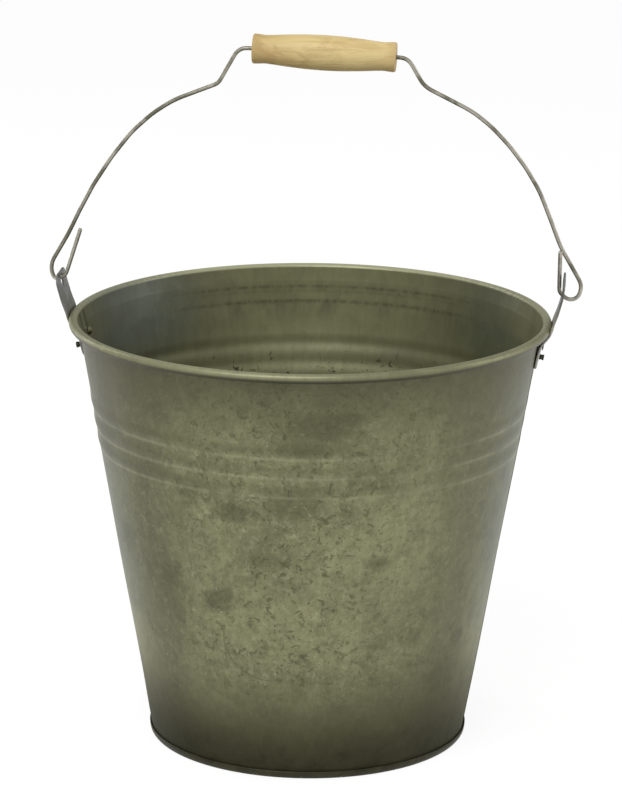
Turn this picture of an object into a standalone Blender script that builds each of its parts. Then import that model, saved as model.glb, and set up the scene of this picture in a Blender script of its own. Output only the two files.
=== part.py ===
"""Tapered sheet-metal bucket with a wire bail and a turned wooden grip.

Metres, +Z up, origin under the middle of the foot. The ears lie on the X axis
and the front half of the body faces -Y.
"""
import math

import bmesh
import bpy
from mathutils import Matrix, Vector

# Body
HEIGHT = 0.260
RIM_RADIUS = 0.145
BEAD_RADIUS = 0.0028
BEAD_OVERHANG = 0.0051
SHEET = 0.0008
FOOT_RADIUS = 0.0954
WALL_SLOPE = (RIM_RADIUS - BEAD_OVERHANG - FOOT_RADIUS) / HEIGHT
GAP = 0.0003
CURL_START_DEG = 180.0
CURL_END_DEG = -120.0
CURL_STEPS = 11
SWEEP_STEPS = 30
RING_STEPS = 60

# Pressed ribs around the body
RIB_COUNT = 3
RIB_PITCH = 0.012
RIB_BELOW_RIM = 0.0610
RIB_DEPTH = 0.0005

# Side seams
LAP_DEG = 2.2
JOGGLE_DEG = 1.3
JOGGLE_CLEAR_DEG = 0.2
LAP_BELOW_RIM = 0.013
LAP_TOP = HEIGHT - LAP_BELOW_RIM
LAP_BOTTOM = 0.014
LAP_EASE = 0.003

# Foot
BAND_HEIGHT = 0.0046
BAND_BULGE = 0.00015
BAND_INNER_HEIGHT = 0.0038
BASE_HEIGHT = 0.0080
FLANGE_FILLET = 0.0012

# Ears
EAR_WIDTH = 0.030
EAR_SHEET = 0.0012
EAR_FOOT_BELOW_RIM = 0.0265
EAR_BOTTOM = HEIGHT - EAR_FOOT_BELOW_RIM
EAR_STAND_OFF = 0.0007
EAR_KINK = 0.0028
EAR_HOLE_RADIUS = 0.0037
EAR_PAST_RIM = 0.0059
EAR_REACH = RIM_RADIUS + EAR_PAST_RIM
EAR_TOP_LEAN = 0.0003
EAR_TOP_RUN = 0.0040
EAR_TOP_CORNER = 0.0066
EAR_FOOT_CORNER = 0.0070
AXIS_ABOVE_RIM = 0.0179
AXIS_HEIGHT = HEIGHT + AXIS_ABOVE_RIM
LEFT_EAR_ABOVE_HOLE = 0.0058
RIGHT_EAR_ABOVE_HOLE = 0.0110

# Rivets
RIVET_RADIUS = 0.0015
RIVET_CLEARANCE = 0.0003
RIVET_DOME_RADIUS = 0.0025
RIVET_DOME_HEIGHT = 0.0024
UPPER_RIVET_BELOW_RIM = 0.0146
UPPER_RIVET_HEIGHT = HEIGHT - UPPER_RIVET_BELOW_RIM
UPPER_RIVET_ASIDE = 0.0022
LEFT_RIVET_BELOW_RIM = 0.0217
RIGHT_RIVET_BELOW_RIM = 0.0209
RIVET_FLAT_RADIUS = 0.0027
RIVET_FLAT_HEIGHT = 0.0007
LEFT_RIVET_TAIL = 0.0042
RIGHT_RIVET_TAIL = 0.0024
RIVET_TAIL_FLARE = 0.0019
RIVET_SIDES = 12

# Bail
WIRE_RADIUS = 0.00125
GRIP_CENTRE_X = 0.00725
GRIP_ABOVE_AXIS = 0.1415
GRIP_TILT_DEG = 2.2
LEFT_RUN_OUT = 0.00845
RIGHT_RUN_OUT = 0.00695
HOOK_SIDE_STEP = 0.0032
ARC_STEP_DEG = 12.0

# Grip
GRIP_LENGTH = 0.085
GRIP_END_RADIUS = 0.0089
GRIP_NECK_RADIUS = 0.0083
GRIP_BELLY_RADIUS = 0.0105
GRIP_NECK_INSET = 0.0085
BORE_CLEARANCE = 0.00045
GRIP_EDGE = 0.0007
GRIP_SIDES = 28


def clear_scene():
    """Remove whatever the scene holds."""
    for obj in list(bpy.data.objects):
        bpy.data.objects.remove(obj, do_unlink=True)


def make_material(name, colour, metallic, roughness):
    """Return a plain Principled material."""
    material = bpy.data.materials.new(name)
    material.use_nodes = True
    shader = material.node_tree.nodes["Principled BSDF"]
    shader.inputs["Base Color"].default_value = (*colour, 1.0)
    shader.inputs["Metallic"].default_value = metallic
    shader.inputs["Roughness"].default_value = roughness
    return material


def group(name):
    """Return a collection, made on first use."""
    collection = bpy.data.collections.get(name)
    if collection is None:
        collection = bpy.data.collections.new(name)
        bpy.context.scene.collection.children.link(collection)
    return collection


def add_object(name, mesh, material=None, sharp_deg=40.0):
    """Link a mesh as a smooth-shaded object that keeps its sharp corners."""
    obj = bpy.data.objects.new(name, mesh)
    group("bucket").objects.link(obj)
    if material is not None:
        mesh.materials.append(material)
    for face in mesh.polygons:
        face.use_smooth = True
    mesh.set_sharp_from_angle(angle=math.radians(sharp_deg))
    return obj


def mesh_from_bmesh(name, bm):
    """Turn a bmesh into a mesh and free it."""
    mesh = bpy.data.meshes.new(name)
    bm.to_mesh(mesh)
    bm.free()
    return mesh


def baked_mesh(obj):
    """Return the mesh of an object with its modifiers, in world place, and drop the object."""
    graph = bpy.context.evaluated_depsgraph_get()
    graph.update()
    mesh = bpy.data.meshes.new_from_object(obj.evaluated_get(graph))
    mesh.transform(obj.matrix_world)
    bpy.data.objects.remove(obj, do_unlink=True)
    return mesh


def wall_radius(height):
    """Outer radius of the plain tapered wall at a height."""
    return FOOT_RADIUS + WALL_SLOPE * height


def bead_centre():
    """Radius and height of the middle of the rolled rim."""
    return RIM_RADIUS - BEAD_RADIUS, HEIGHT - BEAD_RADIUS


def add_cutters(name, cylinders):
    """Make one hidden cutter out of (centre, axis, radius, length) cylinders."""
    bm = bmesh.new()
    for centre, axis, radius, length in cylinders:
        turn = Vector((0, 0, 1)).rotation_difference(axis).to_matrix().to_4x4()
        place = Matrix.Translation(centre) @ turn
        bmesh.ops.create_cone(
            bm, cap_ends=True, segments=20, radius1=radius, radius2=radius,
            depth=length, matrix=place)
    cutter = bpy.data.objects.new(name, mesh_from_bmesh(name, bm))
    cutter.hide_render = True
    cutter.display_type = "WIRE"
    group("cutters").objects.link(cutter)
    return cutter


def cut(obj, cutter):
    """Cut one object with another."""
    modifier = obj.modifiers.new("holes", "BOOLEAN")
    modifier.operation = "DIFFERENCE"
    modifier.solver = "EXACT"
    modifier.object = cutter


def wall_profile():
    """Outer face of the sheet from the foot to the end of the rolled rim, as (radius, height)."""
    foot = SHEET + GAP
    points = [(wall_radius(foot), foot)]
    rows = [LAP_BOTTOM - LAP_EASE, LAP_BOTTOM, HEIGHT * 0.23, HEIGHT * 0.46]
    points += [(wall_radius(z), z) for z in rows]
    for step in range(2 * RIB_COUNT + 1):
        z = HEIGHT - RIB_BELOW_RIM + RIB_PITCH * (step - RIB_COUNT) / 2.0
        points.append((wall_radius(z) + RIB_DEPTH * (step % 2), z))
    points += [(wall_radius(z), z) for z in (HEIGHT * 0.865, LAP_TOP, LAP_TOP + LAP_EASE)]
    middle_r, middle_z = bead_centre()
    inner = BEAD_RADIUS - SHEET
    for step in range(CURL_STEPS + 1):
        share = step / CURL_STEPS
        angle = math.radians(CURL_START_DEG + (CURL_END_DEG - CURL_START_DEG) * share)
        x = middle_r + inner * math.cos(angle)
        z = middle_z + inner * math.sin(angle)
        points.append((x, z))
    return points


def spin_on(bm, edges, degrees, steps):
    """Sweep edges about Z and return the last row of edges."""
    made = bmesh.ops.spin(
        bm, geom=edges, cent=(0, 0, 0), axis=(0, 0, 1),
        angle=math.radians(degrees), steps=steps)
    return [item for item in made["geom_last"] if isinstance(item, bmesh.types.BMEdge)]


def in_lap(vertex):
    """True for a vertex in the lapped part of the wall."""
    return LAP_BOTTOM - 1e-5 <= vertex.co.z <= LAP_TOP + 1e-5


def lap_edges(edges):
    """Keep the edges that belong to the lap."""
    return [edge for edge in edges if all(in_lap(v) for v in edge.verts)]


def push_in(edges, amount):
    """Move the lapped vertices of a row towards the axis."""
    moved = {vertex for edge in edges for vertex in edge.verts if in_lap(vertex)}
    for vertex in moved:
        radius = math.hypot(vertex.co.x, vertex.co.y)
        factor = (radius - amount) / radius
        vertex.co.x *= factor
        vertex.co.y *= factor


def start_row(bm, points, degrees):
    """Place the profile at an azimuth as a row of edges."""
    angle = math.radians(degrees)
    verts = [bm.verts.new((r * math.cos(angle), r * math.sin(angle), z)) for r, z in points]
    return [bm.edges.new(pair) for pair in zip(verts, verts[1:])]


def half_shell(name, first_deg, inside, material):
    """Build half of the body; the inside half steps inwards where the two lap."""
    step_in = SHEET + GAP if inside else 0.0
    butt = math.degrees(GAP / 2 / RIM_RADIUS)
    ease = LAP_DEG + JOGGLE_CLEAR_DEG
    reach = JOGGLE_DEG + ease
    bm = bmesh.new()
    row = start_row(bm, wall_profile(), first_deg + reach)
    ends = (spin_on(bm, row, 180.0 - 2.0 * reach, SWEEP_STEPS), row)
    for sign, edges in zip((1, -1), ends):
        edges = spin_on(bm, edges, sign * JOGGLE_DEG, 1)
        push_in(edges, step_in)
        edges = spin_on(bm, edges, sign * (ease - butt), 1)
        spin_on(bm, lap_edges(edges), sign * (LAP_DEG + butt), 1)
    bmesh.ops.remove_doubles(bm, verts=bm.verts, dist=1e-6)
    bmesh.ops.recalc_face_normals(bm, faces=bm.faces)
    sample = max(bm.faces, key=lambda face: -abs(face.calc_center_median().z - 0.1))
    if sample.normal.dot(Vector((*sample.calc_center_median().xy, 0.0))) < 0:
        bmesh.ops.reverse_faces(bm, faces=bm.faces)
    obj = bpy.data.objects.new(name, mesh_from_bmesh(name, bm))
    bpy.context.scene.collection.objects.link(obj)
    solid = obj.modifiers.new("sheet", "SOLIDIFY")
    solid.thickness = SHEET
    solid.offset = -1.0
    solid.use_even_offset = True
    solid.use_quality_normals = True
    return add_object(name, baked_mesh(obj), material, 35.0)


def revolve(name, points, steps, closed, material, sharp_deg=40.0):
    """Turn an (x, z) profile about Z."""
    mesh = bpy.data.meshes.new(name)
    edges = [(i, i + 1) for i in range(len(points) - 1)]
    if closed:
        edges.append((len(points) - 1, 0))
    mesh.from_pydata([(x, 0.0, z) for x, z in points], edges, [])
    obj = bpy.data.objects.new(name, mesh)
    bpy.context.scene.collection.objects.link(obj)
    screw = obj.modifiers.new("turn", "SCREW")
    screw.steps = steps
    screw.render_steps = steps
    screw.use_merge_vertices = True
    screw.merge_threshold = 1e-5
    screw.use_normal_calculate = True
    solid = baked_mesh(obj)
    bm = bmesh.new()
    bm.from_mesh(solid)
    bmesh.ops.remove_doubles(bm, verts=bm.verts, dist=1e-6)
    bmesh.ops.recalc_face_normals(bm, faces=bm.faces)
    bm.to_mesh(solid)
    bm.free()
    return add_object(name, solid, material, sharp_deg)


def build_base(material):
    """Bottom disc with a flange turned down inside the wall."""
    def flange(offset, z):
        return wall_radius(z) - SHEET - GAP - offset, z
    foot = SHEET + GAP
    under = BASE_HEIGHT - SHEET
    top_r = flange(0.0, BASE_HEIGHT)[0]
    points = [
        (0.0, BASE_HEIGHT),
        (top_r - FLANGE_FILLET, BASE_HEIGHT),
        (top_r - FLANGE_FILLET * 0.3, BASE_HEIGHT - FLANGE_FILLET * 0.3),
        flange(0.0, BASE_HEIGHT - FLANGE_FILLET),
        flange(0.0, foot),
        flange(SHEET, foot),
        flange(SHEET, under - FLANGE_FILLET * 0.4),
        (flange(SHEET, under)[0] - FLANGE_FILLET * 0.5, under),
        (0.0, under),
    ]
    return revolve("base", points, RING_STEPS, False, material)


def build_foot_band(material):
    """U-shaped band folded around the wall and the base flange."""
    out = GAP + SHEET
    inside = 2.0 * (SHEET + GAP)

    def at(offset, z):
        return wall_radius(z) + offset, z
    points = [
        at(out, BAND_HEIGHT),
        at(out + BAND_BULGE, BAND_HEIGHT * 0.62),
        at(out + BAND_BULGE * 0.5, BAND_HEIGHT * 0.30),
        at(out * 0.75, SHEET * 0.9),
        at(0.0, 0.0),
        at(-inside, 0.0),
        at(-inside - SHEET, SHEET * 0.8),
        at(-inside - SHEET, BAND_INNER_HEIGHT),
        at(-inside, BAND_INNER_HEIGHT),
        at(-inside, SHEET),
        at(GAP, SHEET),
        at(GAP, BAND_HEIGHT),
    ]
    return revolve("foot_band", points, RING_STEPS, True, material)


def build_rim_wire(material):
    """Wire ring inside the rolled rim."""
    middle_r, middle_z = bead_centre()
    radius = BEAD_RADIUS - SHEET - GAP
    points = []
    for step in range(8):
        angle = math.radians(90.0 - 45.0 * step)
        points.append((middle_r + radius * math.cos(angle), middle_z + radius * math.sin(angle)))
    return revolve("rim_wire", points, RING_STEPS, True, material)


def ear_gap(height):
    """Gap between the wall and the lower part of an ear, growing upwards."""
    span = UPPER_RIVET_HEIGHT + EAR_KINK - EAR_BOTTOM
    return GAP + EAR_STAND_OFF * (height - EAR_BOTTOM) / span


def ear_path(top):
    """Inner face of an ear from its foot to its top, as (x, z)."""
    side = RIM_RADIUS + GAP
    neck = HEIGHT - BEAD_RADIUS
    kink = UPPER_RIVET_HEIGHT + EAR_KINK
    return [
        (wall_radius(EAR_BOTTOM) + ear_gap(EAR_BOTTOM), EAR_BOTTOM),
        (wall_radius(kink) + ear_gap(kink), kink),
        (side - BEAD_RADIUS * 1.05, neck - BEAD_RADIUS * 1.7),
        (side - BEAD_RADIUS * 0.33, neck - BEAD_RADIUS * 0.8),
        (side, neck),
        (side + BEAD_RADIUS * 0.12, neck + BEAD_RADIUS * 0.7),
        (EAR_REACH, AXIS_HEIGHT),
        (EAR_REACH + EAR_TOP_LEAN, AXIS_HEIGHT + EAR_TOP_RUN),
        (EAR_REACH + EAR_TOP_LEAN, top),
    ]


def build_ear(name, side, above_hole, cutters, material):
    """Strap bent out around the rim, with rounded corners and its holes."""
    path = ear_path(AXIS_HEIGHT + above_hole)
    bm = bmesh.new()
    verts = [bm.verts.new((x, -EAR_WIDTH / 2.0, z)) for x, z in path]
    edges = [bm.edges.new(pair) for pair in zip(verts, verts[1:])]
    grown = bmesh.ops.extrude_edge_only(bm, edges=edges)["geom"]
    moved = [item for item in grown if isinstance(item, bmesh.types.BMVert)]
    bmesh.ops.translate(bm, verts=moved, vec=(0, EAR_WIDTH, 0))
    ends = ((AXIS_HEIGHT + above_hole, EAR_TOP_CORNER), (EAR_BOTTOM, EAR_FOOT_CORNER))
    for height, radius in ends:
        corners = [v for v in bm.verts if abs(v.co.z - height) < 1e-6]
        bmesh.ops.bevel(
            bm, geom=corners, offset=radius, offset_type="OFFSET", segments=5,
            profile=0.5, affect="VERTICES")
    bmesh.ops.recalc_face_normals(bm, faces=bm.faces)
    top = max(bm.faces, key=lambda face: face.calc_center_median().z)
    if top.normal.x > 0:
        bmesh.ops.reverse_faces(bm, faces=bm.faces)
    if side < 0:
        bmesh.ops.rotate(
            bm, verts=bm.verts, cent=(0, 0, 0), matrix=Matrix.Rotation(math.pi, 3, "Z"))
    obj = bpy.data.objects.new(name, mesh_from_bmesh(name, bm))
    bpy.context.scene.collection.objects.link(obj)
    solid = obj.modifiers.new("strap", "SOLIDIFY")
    solid.thickness = EAR_SHEET
    solid.offset = -1.0
    solid.use_even_offset = True
    ear = add_object(name, baked_mesh(obj), material, 30.0)
    for cutter in cutters:
        cut(ear, cutter)
    return ear


def rivet_frame(side, height, aside):
    """Place of a rivet: on the wall's outer face, its Z axis square to the wall."""
    slope = math.atan(WALL_SLOPE)
    turn = Matrix.Rotation(side * aside / wall_radius(height), 3, "Z")
    centre = turn @ Vector((side * wall_radius(height), 0.0, height))
    axis = turn @ Vector((side * math.cos(slope), 0.0, -math.sin(slope)))
    return centre, axis


def flat_head(outer):
    """Low flat outer end of an upper rivet, as (radius, length) from its tip."""
    return [(0.0, outer + RIVET_FLAT_HEIGHT),
            (RIVET_FLAT_RADIUS * 0.85, outer + RIVET_FLAT_HEIGHT),
            (RIVET_FLAT_RADIUS, outer + RIVET_FLAT_HEIGHT * 0.5),
            (RIVET_FLAT_RADIUS, outer)]


def long_tail(outer, tail):
    """Flared tail left proud on a lower rivet, as (radius, length) from its tip."""
    return [(0.0, outer + tail),
            (RIVET_TAIL_FLARE * 0.9, outer + tail),
            (RIVET_TAIL_FLARE, outer + tail * 0.85),
            (RIVET_RADIUS, outer + tail * 0.55),
            (RIVET_RADIUS * 1.02, outer + tail * 0.12),
            (RIVET_TAIL_FLARE * 1.12, outer)]


def build_rivet(name, side, height, aside, tail, material):
    """Rivet through ear and both sheets: domed inside, flat or long-tailed outside."""
    slope = math.cos(math.atan(WALL_SLOPE))
    inner = -(2.0 * SHEET + GAP) * slope - GAP
    outer = ear_gap(height) * slope + EAR_SHEET + GAP
    points = long_tail(outer, tail) if tail else flat_head(outer)
    points += [(RIVET_RADIUS, outer), (RIVET_RADIUS, inner), (RIVET_DOME_RADIUS, inner)]
    for step in range(1, 4):
        angle = math.radians(30.0 * step)
        points.append((RIVET_DOME_RADIUS * math.cos(angle) if step < 3 else 0.0,
                       inner - RIVET_DOME_HEIGHT * math.sin(angle)))
    rivet = revolve(name, points, RIVET_SIDES, False, material)
    centre, axis = rivet_frame(side, height, aside)
    rivet.location = centre
    rivet.rotation_euler = Vector((0, 0, 1)).rotation_difference(axis).to_euler()
    return rivet


def bore_line(x):
    """Height above the swing axis of the straight run of wire inside the grip."""
    return GRIP_ABOVE_AXIS - math.tan(math.radians(GRIP_TILT_DEG)) * (x - GRIP_CENTRE_X)


def hook_corners():
    """Corners of the left and right hooks as (past the ear, y, height, bend radius)."""
    left = [
        (-0.0117, 0.0, 0.0314, 0.0),
        (-0.0045, 0.0, 0.0090, 0.0080),
        (-0.0023, 0.0, 0.0026, 0.0026),
        (0.0042, 0.0, -0.0012, 0.0026),
        (0.0073, 0.0, 0.0082, 0.0120),
        (-0.0042, 0.0, 0.0280, 0.0400),
    ]
    right = [
        (-0.0019, 0.0, 0.0285, 0.0120),
        (0.0115, 0.0, 0.0056, 0.0058),
        (0.0074, 0.0, -0.0056, 0.0040),
        (-0.0020, 0.0, 0.0012, 0.0026),
        (-0.0020, -HOOK_SIDE_STEP / 3.0, 0.0100, 0.0080),
        (-0.0018, -HOOK_SIDE_STEP, 0.0266, 0.0),
    ]
    return left, right


def arch_corners():
    """Corners of the arch, as (share of the reach, share of the grip's height, bend radius)."""
    left = [
        (-0.871, 0.413, 0.0600),
        (-0.718, 0.648, 0.0500),
        (-0.550, 0.788, 0.0400),
        (-0.370, 0.861, 0.0060),
    ]
    right = [
        (0.440, 0.869, 0.0150),
        (0.636, 0.769, 0.0400),
        (0.782, 0.625, 0.0500),
        (0.902, 0.438, 0.0500),
    ]
    return left, right


def bail_corners():
    """Corners of the bent wire as (x, y, height above the axis, bend radius)."""
    hook_l, hook_r = hook_corners()
    arch_l, arch_r = arch_corners()
    left_exit = GRIP_CENTRE_X - GRIP_LENGTH / 2.0 - LEFT_RUN_OUT
    right_exit = GRIP_CENTRE_X + GRIP_LENGTH / 2.0 + RIGHT_RUN_OUT
    corners = [(-EAR_REACH - past, y, z, bend) for past, y, z, bend in hook_l]
    corners += [(x * EAR_REACH, 0.0, z * GRIP_ABOVE_AXIS, bend) for x, z, bend in arch_l]
    corners += [(x, 0.0, bore_line(x), 0.0080) for x in (left_exit, right_exit)]
    corners += [(x * EAR_REACH, 0.0, z * GRIP_ABOVE_AXIS, bend) for x, z, bend in arch_r]
    corners += [(EAR_REACH + past, y, z, bend) for past, y, z, bend in hook_r]
    return corners


def rounded_path(corners):
    """Replace each corner by an arc of its bend radius."""
    places = [Vector(corner[:3]) for corner in corners]
    path = [places[0]]
    for index in range(1, len(corners) - 1):
        here = places[index]
        back = (places[index - 1] - here).normalized()
        ahead = (places[index + 1] - here).normalized()
        half = back.angle(ahead) / 2.0
        turn = math.pi - 2.0 * half
        radius = corners[index][3]
        centre = here + (back + ahead).normalized() * (radius / math.sin(half))
        start = here + back * (radius / math.tan(half)) - centre
        stop = here + ahead * (radius / math.tan(half)) - centre
        steps = max(1, math.ceil(math.degrees(turn) / ARC_STEP_DEG))
        for step in range(steps + 1):
            share = step / steps
            weight_a = math.sin((1.0 - share) * turn) / math.sin(turn)
            weight_b = math.sin(share * turn) / math.sin(turn)
            path.append(centre + start * weight_a + stop * weight_b)
    path.append(places[-1])
    return path


def build_bail(material):
    """Bent wire with an open hook at each end, its origin on the swing axis."""
    path = rounded_path(bail_corners())
    curve = bpy.data.curves.new("bail", "CURVE")
    curve.dimensions = "3D"
    curve.bevel_depth = WIRE_RADIUS
    curve.bevel_resolution = 2
    curve.use_fill_caps = True
    spline = curve.splines.new("POLY")
    spline.points.add(len(path) - 1)
    for point, place in zip(spline.points, path):
        point.co = (*place, 1.0)
    guide = bpy.data.objects.new("bail_path", curve)
    bpy.context.scene.collection.objects.link(guide)
    mesh = baked_mesh(guide)
    bm = bmesh.new()
    bm.from_mesh(mesh)
    bmesh.ops.remove_doubles(bm, verts=bm.verts, dist=1e-6)
    bmesh.ops.recalc_face_normals(bm, faces=bm.faces)
    bm.to_mesh(mesh)
    bm.free()
    bail = add_object("bail", mesh, material)
    bail.location = (0.0, 0.0, AXIS_HEIGHT)
    return bail


def grip_profile():
    """Turned outline with a bore, as a closed loop of (radius, length)."""
    half = GRIP_LENGTH / 2.0
    bore = WIRE_RADIUS + BORE_CLEARANCE
    outline = [
        (GRIP_END_RADIUS - GRIP_EDGE, half),
        (GRIP_END_RADIUS, half - GRIP_EDGE),
        (GRIP_END_RADIUS - 0.0001, half - GRIP_NECK_INSET * 0.45),
        (GRIP_NECK_RADIUS, half - GRIP_NECK_INSET),
        (GRIP_NECK_RADIUS + 0.0006, half - GRIP_NECK_INSET * 1.6),
    ]
    belly = GRIP_BELLY_RADIUS
    outline += [(belly - 0.0005, half * 0.42), (belly, half * 0.14)]
    lower = [(radius, -z) for radius, z in reversed(outline)]
    return outline + lower + [(bore, -half), (bore, half)]


def build_grip(material):
    """Wooden grip turning on the straight top run of the bail."""
    grip = revolve("grip", grip_profile(), GRIP_SIDES, True, material, 35.0)
    grip.location = (GRIP_CENTRE_X, 0.0, AXIS_HEIGHT + GRIP_ABOVE_AXIS)
    grip.rotation_euler = (0.0, math.radians(90.0 + GRIP_TILT_DEG), 0.0)
    return grip


def main():
    """Build every piece."""
    clear_scene()
    zinc = (0.20, 0.20, 0.16)
    front = half_shell("front_wall", 180.0, True, make_material("front_wall", zinc, 0.5, 0.6))
    rear = half_shell("rear_wall", 0.0, False, make_material("rear_wall", zinc, 0.5, 0.6))
    build_base(make_material("base", (0.10, 0.10, 0.07), 0.4, 0.7))
    build_foot_band(make_material("foot_band", (0.09, 0.09, 0.06), 0.4, 0.65))
    build_rim_wire(make_material("rim_wire", (0.18, 0.17, 0.14), 0.8, 0.5))
    sides = (("left", -1, LEFT_EAR_ABOVE_HOLE, LEFT_RIVET_BELOW_RIM, LEFT_RIVET_TAIL),
             ("right", 1, RIGHT_EAR_ABOVE_HOLE, RIGHT_RIVET_BELOW_RIM, RIGHT_RIVET_TAIL))
    for label, side, above_hole, below_rim, tail in sides:
        bores = []
        levels = (("upper", UPPER_RIVET_HEIGHT, UPPER_RIVET_ASIDE, 0.0),
                  ("lower", HEIGHT - below_rim, 0.0, tail))
        for level, height, aside, proud in levels:
            name = f"{label}_{level}_rivet"
            dark = make_material(name, (0.12, 0.11, 0.09), 0.7, 0.5)
            build_rivet(name, side, height, aside, proud, dark)
            centre, axis = rivet_frame(side, height, aside)
            bores.append((centre, axis, RIVET_RADIUS + RIVET_CLEARANCE, 0.016))
        rivet_bores = add_cutters(f"{label}_rivet_bores", bores)
        eye_place = Vector((side * EAR_REACH, 0.0, AXIS_HEIGHT))
        eye = add_cutters(f"{label}_eye", [(eye_place, Vector((1, 0, 0)), EAR_HOLE_RADIUS, 0.012)])
        ear_material = make_material(f"{label}_ear", (0.22, 0.22, 0.21), 0.6, 0.5)
        build_ear(f"{label}_ear", side, above_hole, (rivet_bores, eye), ear_material)
        cut(front, rivet_bores)
        cut(rear, rivet_bores)
    build_bail(make_material("bail", (0.30, 0.27, 0.20), 0.85, 0.4))
    build_grip(make_material("grip", (0.75, 0.60, 0.42), 0.0, 0.55))


main()
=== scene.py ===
"""Finish of a weathered sheet-metal bucket with a wire bail and a turned wooden grip.

Metres, +Z up, origin under the middle of the foot. The ears lie on the X axis and the
front half of the body faces -Y. Azimuth 0 is +X and grows towards +Y.
"""
import math

import bpy
import numpy as np
from mathutils import Matrix, Vector


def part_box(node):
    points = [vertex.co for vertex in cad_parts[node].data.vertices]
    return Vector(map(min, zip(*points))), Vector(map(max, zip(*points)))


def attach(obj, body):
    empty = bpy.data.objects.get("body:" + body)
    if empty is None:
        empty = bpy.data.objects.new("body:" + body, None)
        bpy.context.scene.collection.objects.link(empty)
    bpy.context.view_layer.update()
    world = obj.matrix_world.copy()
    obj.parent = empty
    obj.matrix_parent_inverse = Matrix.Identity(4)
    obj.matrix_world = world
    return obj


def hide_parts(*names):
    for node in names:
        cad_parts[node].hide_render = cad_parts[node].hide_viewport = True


bl_info = {
    "name": "Weathered Bucket",
    "version": (1, 0, 0),
    "blender": (4, 5, 0),
    "location": "View3D > Sidebar > Bucket",
    "description": "Builds the finished pieces of a weathered metal bucket on its frame",
    "category": "Object",
}

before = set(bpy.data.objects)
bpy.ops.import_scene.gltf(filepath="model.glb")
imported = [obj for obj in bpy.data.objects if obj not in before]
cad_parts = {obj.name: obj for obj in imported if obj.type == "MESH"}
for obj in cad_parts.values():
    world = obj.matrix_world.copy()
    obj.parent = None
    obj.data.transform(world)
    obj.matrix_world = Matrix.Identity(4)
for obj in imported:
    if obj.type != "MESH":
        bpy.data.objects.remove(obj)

# Body, as in the part's source
BEAD_RADIUS = 0.0028
BEAD_OVERHANG = 0.0051
FOOT_RADIUS = 0.0954
GAP = 0.0003
RIB_COUNT = 3
RIB_PITCH = 0.012
RIB_BELOW_RIM = 0.0610
CURL_START_DEG = 180.0
CURL_END_DEG = -120.0
LAP_DEG = 2.2
JOGGLE_DEG = 1.3
JOGGLE_CLEAR_DEG = 0.2
LAP_BELOW_RIM = 0.013
LAP_BOTTOM = 0.014
LAP_EASE = 0.003

# Foot, as in the part's source
BAND_HEIGHT = 0.0046
BAND_BULGE = 0.00015
BAND_INNER_HEIGHT = 0.0038
BASE_HEIGHT = 0.0080
FLANGE_FILLET = 0.0012

# Ears, as in the part's source
EAR_SHEET = 0.0012
EAR_FOOT_BELOW_RIM = 0.0265
EAR_STAND_OFF = 0.0007
EAR_KINK = 0.0028
EAR_HOLE_RADIUS = 0.0037
EAR_PAST_RIM = 0.0059
EAR_TOP_LEAN = 0.0003
EAR_TOP_RUN = 0.0040
EAR_TOP_CORNER = 0.0066
EAR_FOOT_CORNER = 0.0070
AXIS_ABOVE_RIM = 0.0179
RIGHT_EAR_ABOVE_HOLE = 0.0110

# Rivets, as in the part's source
RIVET_RADIUS = 0.0015
RIVET_DOME_RADIUS = 0.0025
RIVET_DOME_HEIGHT = 0.0024
UPPER_RIVET_BELOW_RIM = 0.0146
UPPER_RIVET_ASIDE = 0.0022
LEFT_RIVET_BELOW_RIM = 0.0217
RIGHT_RIVET_BELOW_RIM = 0.0209
RIVET_FLAT_RADIUS = 0.0027
RIVET_FLAT_HEIGHT = 0.0007
LEFT_RIVET_TAIL = 0.0042
RIGHT_RIVET_TAIL = 0.0024
RIVET_TAIL_FLARE = 0.0019

# Bail and grip, as in the part's source
GRIP_CENTRE_X = 0.00725
GRIP_ABOVE_AXIS = 0.1415
GRIP_TILT_DEG = 2.2
LEFT_RUN_OUT = 0.00845
RIGHT_RUN_OUT = 0.00695
HOOK_SIDE_STEP = 0.0032
GRIP_NECK_RADIUS = 0.0083
GRIP_NECK_INSET = 0.0085
GRIP_EDGE = 0.0007
BORE_CLEARANCE = 0.00045

# Only here: the left ear's top, a little shorter than in the part's source; how far the ears'
# edges are rounded; the share of the ribs' depth at the right seam, and how far from it the ribs
# grow to their whole depth; and where the dull run below the right ear starts and ends
LEFT_EAR_ABOVE_HOLE = 0.0052
EAR_EDGE = 0.00028
RIB_AT_SEAM = 0.25
RIB_SEAM_DEG = (4.0, 13.0)
DULL_RUN_DEG = (-5.5, 7.0)

# Rows, columns and steps of the meshes
CURL_ROWS = 31
DISC_COLUMNS = 240
BAND_COLUMNS = 300
EAR_RINGS = 46
EAR_COLUMNS = 144
RIVET_COLUMNS = 28
WIRE_COLUMNS = 20
GRIP_COLUMNS = 72
WIRE_STEP = 0.0007
WIRE_BEND_DEG = 3.0

# Hook corners as (past the ear, y, height above the axis, bend radius)
LEFT_HOOK = [
    (-0.0117, 0.0, 0.0314, 0.0),
    (-0.0045, 0.0, 0.0090, 0.0080),
    (-0.0023, 0.0, 0.0026, 0.0026),
    (0.0042, 0.0, -0.0012, 0.0026),
    (0.0073, 0.0, 0.0082, 0.0120),
    (-0.0042, 0.0, 0.0280, 0.0400),
]
RIGHT_HOOK = [
    (-0.0019, 0.0, 0.0285, 0.0120),
    (0.0115, 0.0, 0.0056, 0.0090),
    (0.0080, 0.0, -0.0086, 0.0055),
    (-0.0020, 0.0, 0.0012, 0.0026),
    (-0.0020, -HOOK_SIDE_STEP / 3.0, 0.0100, 0.0080),
    (-0.0018, -HOOK_SIDE_STEP, 0.0266, 0.0),
]

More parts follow.
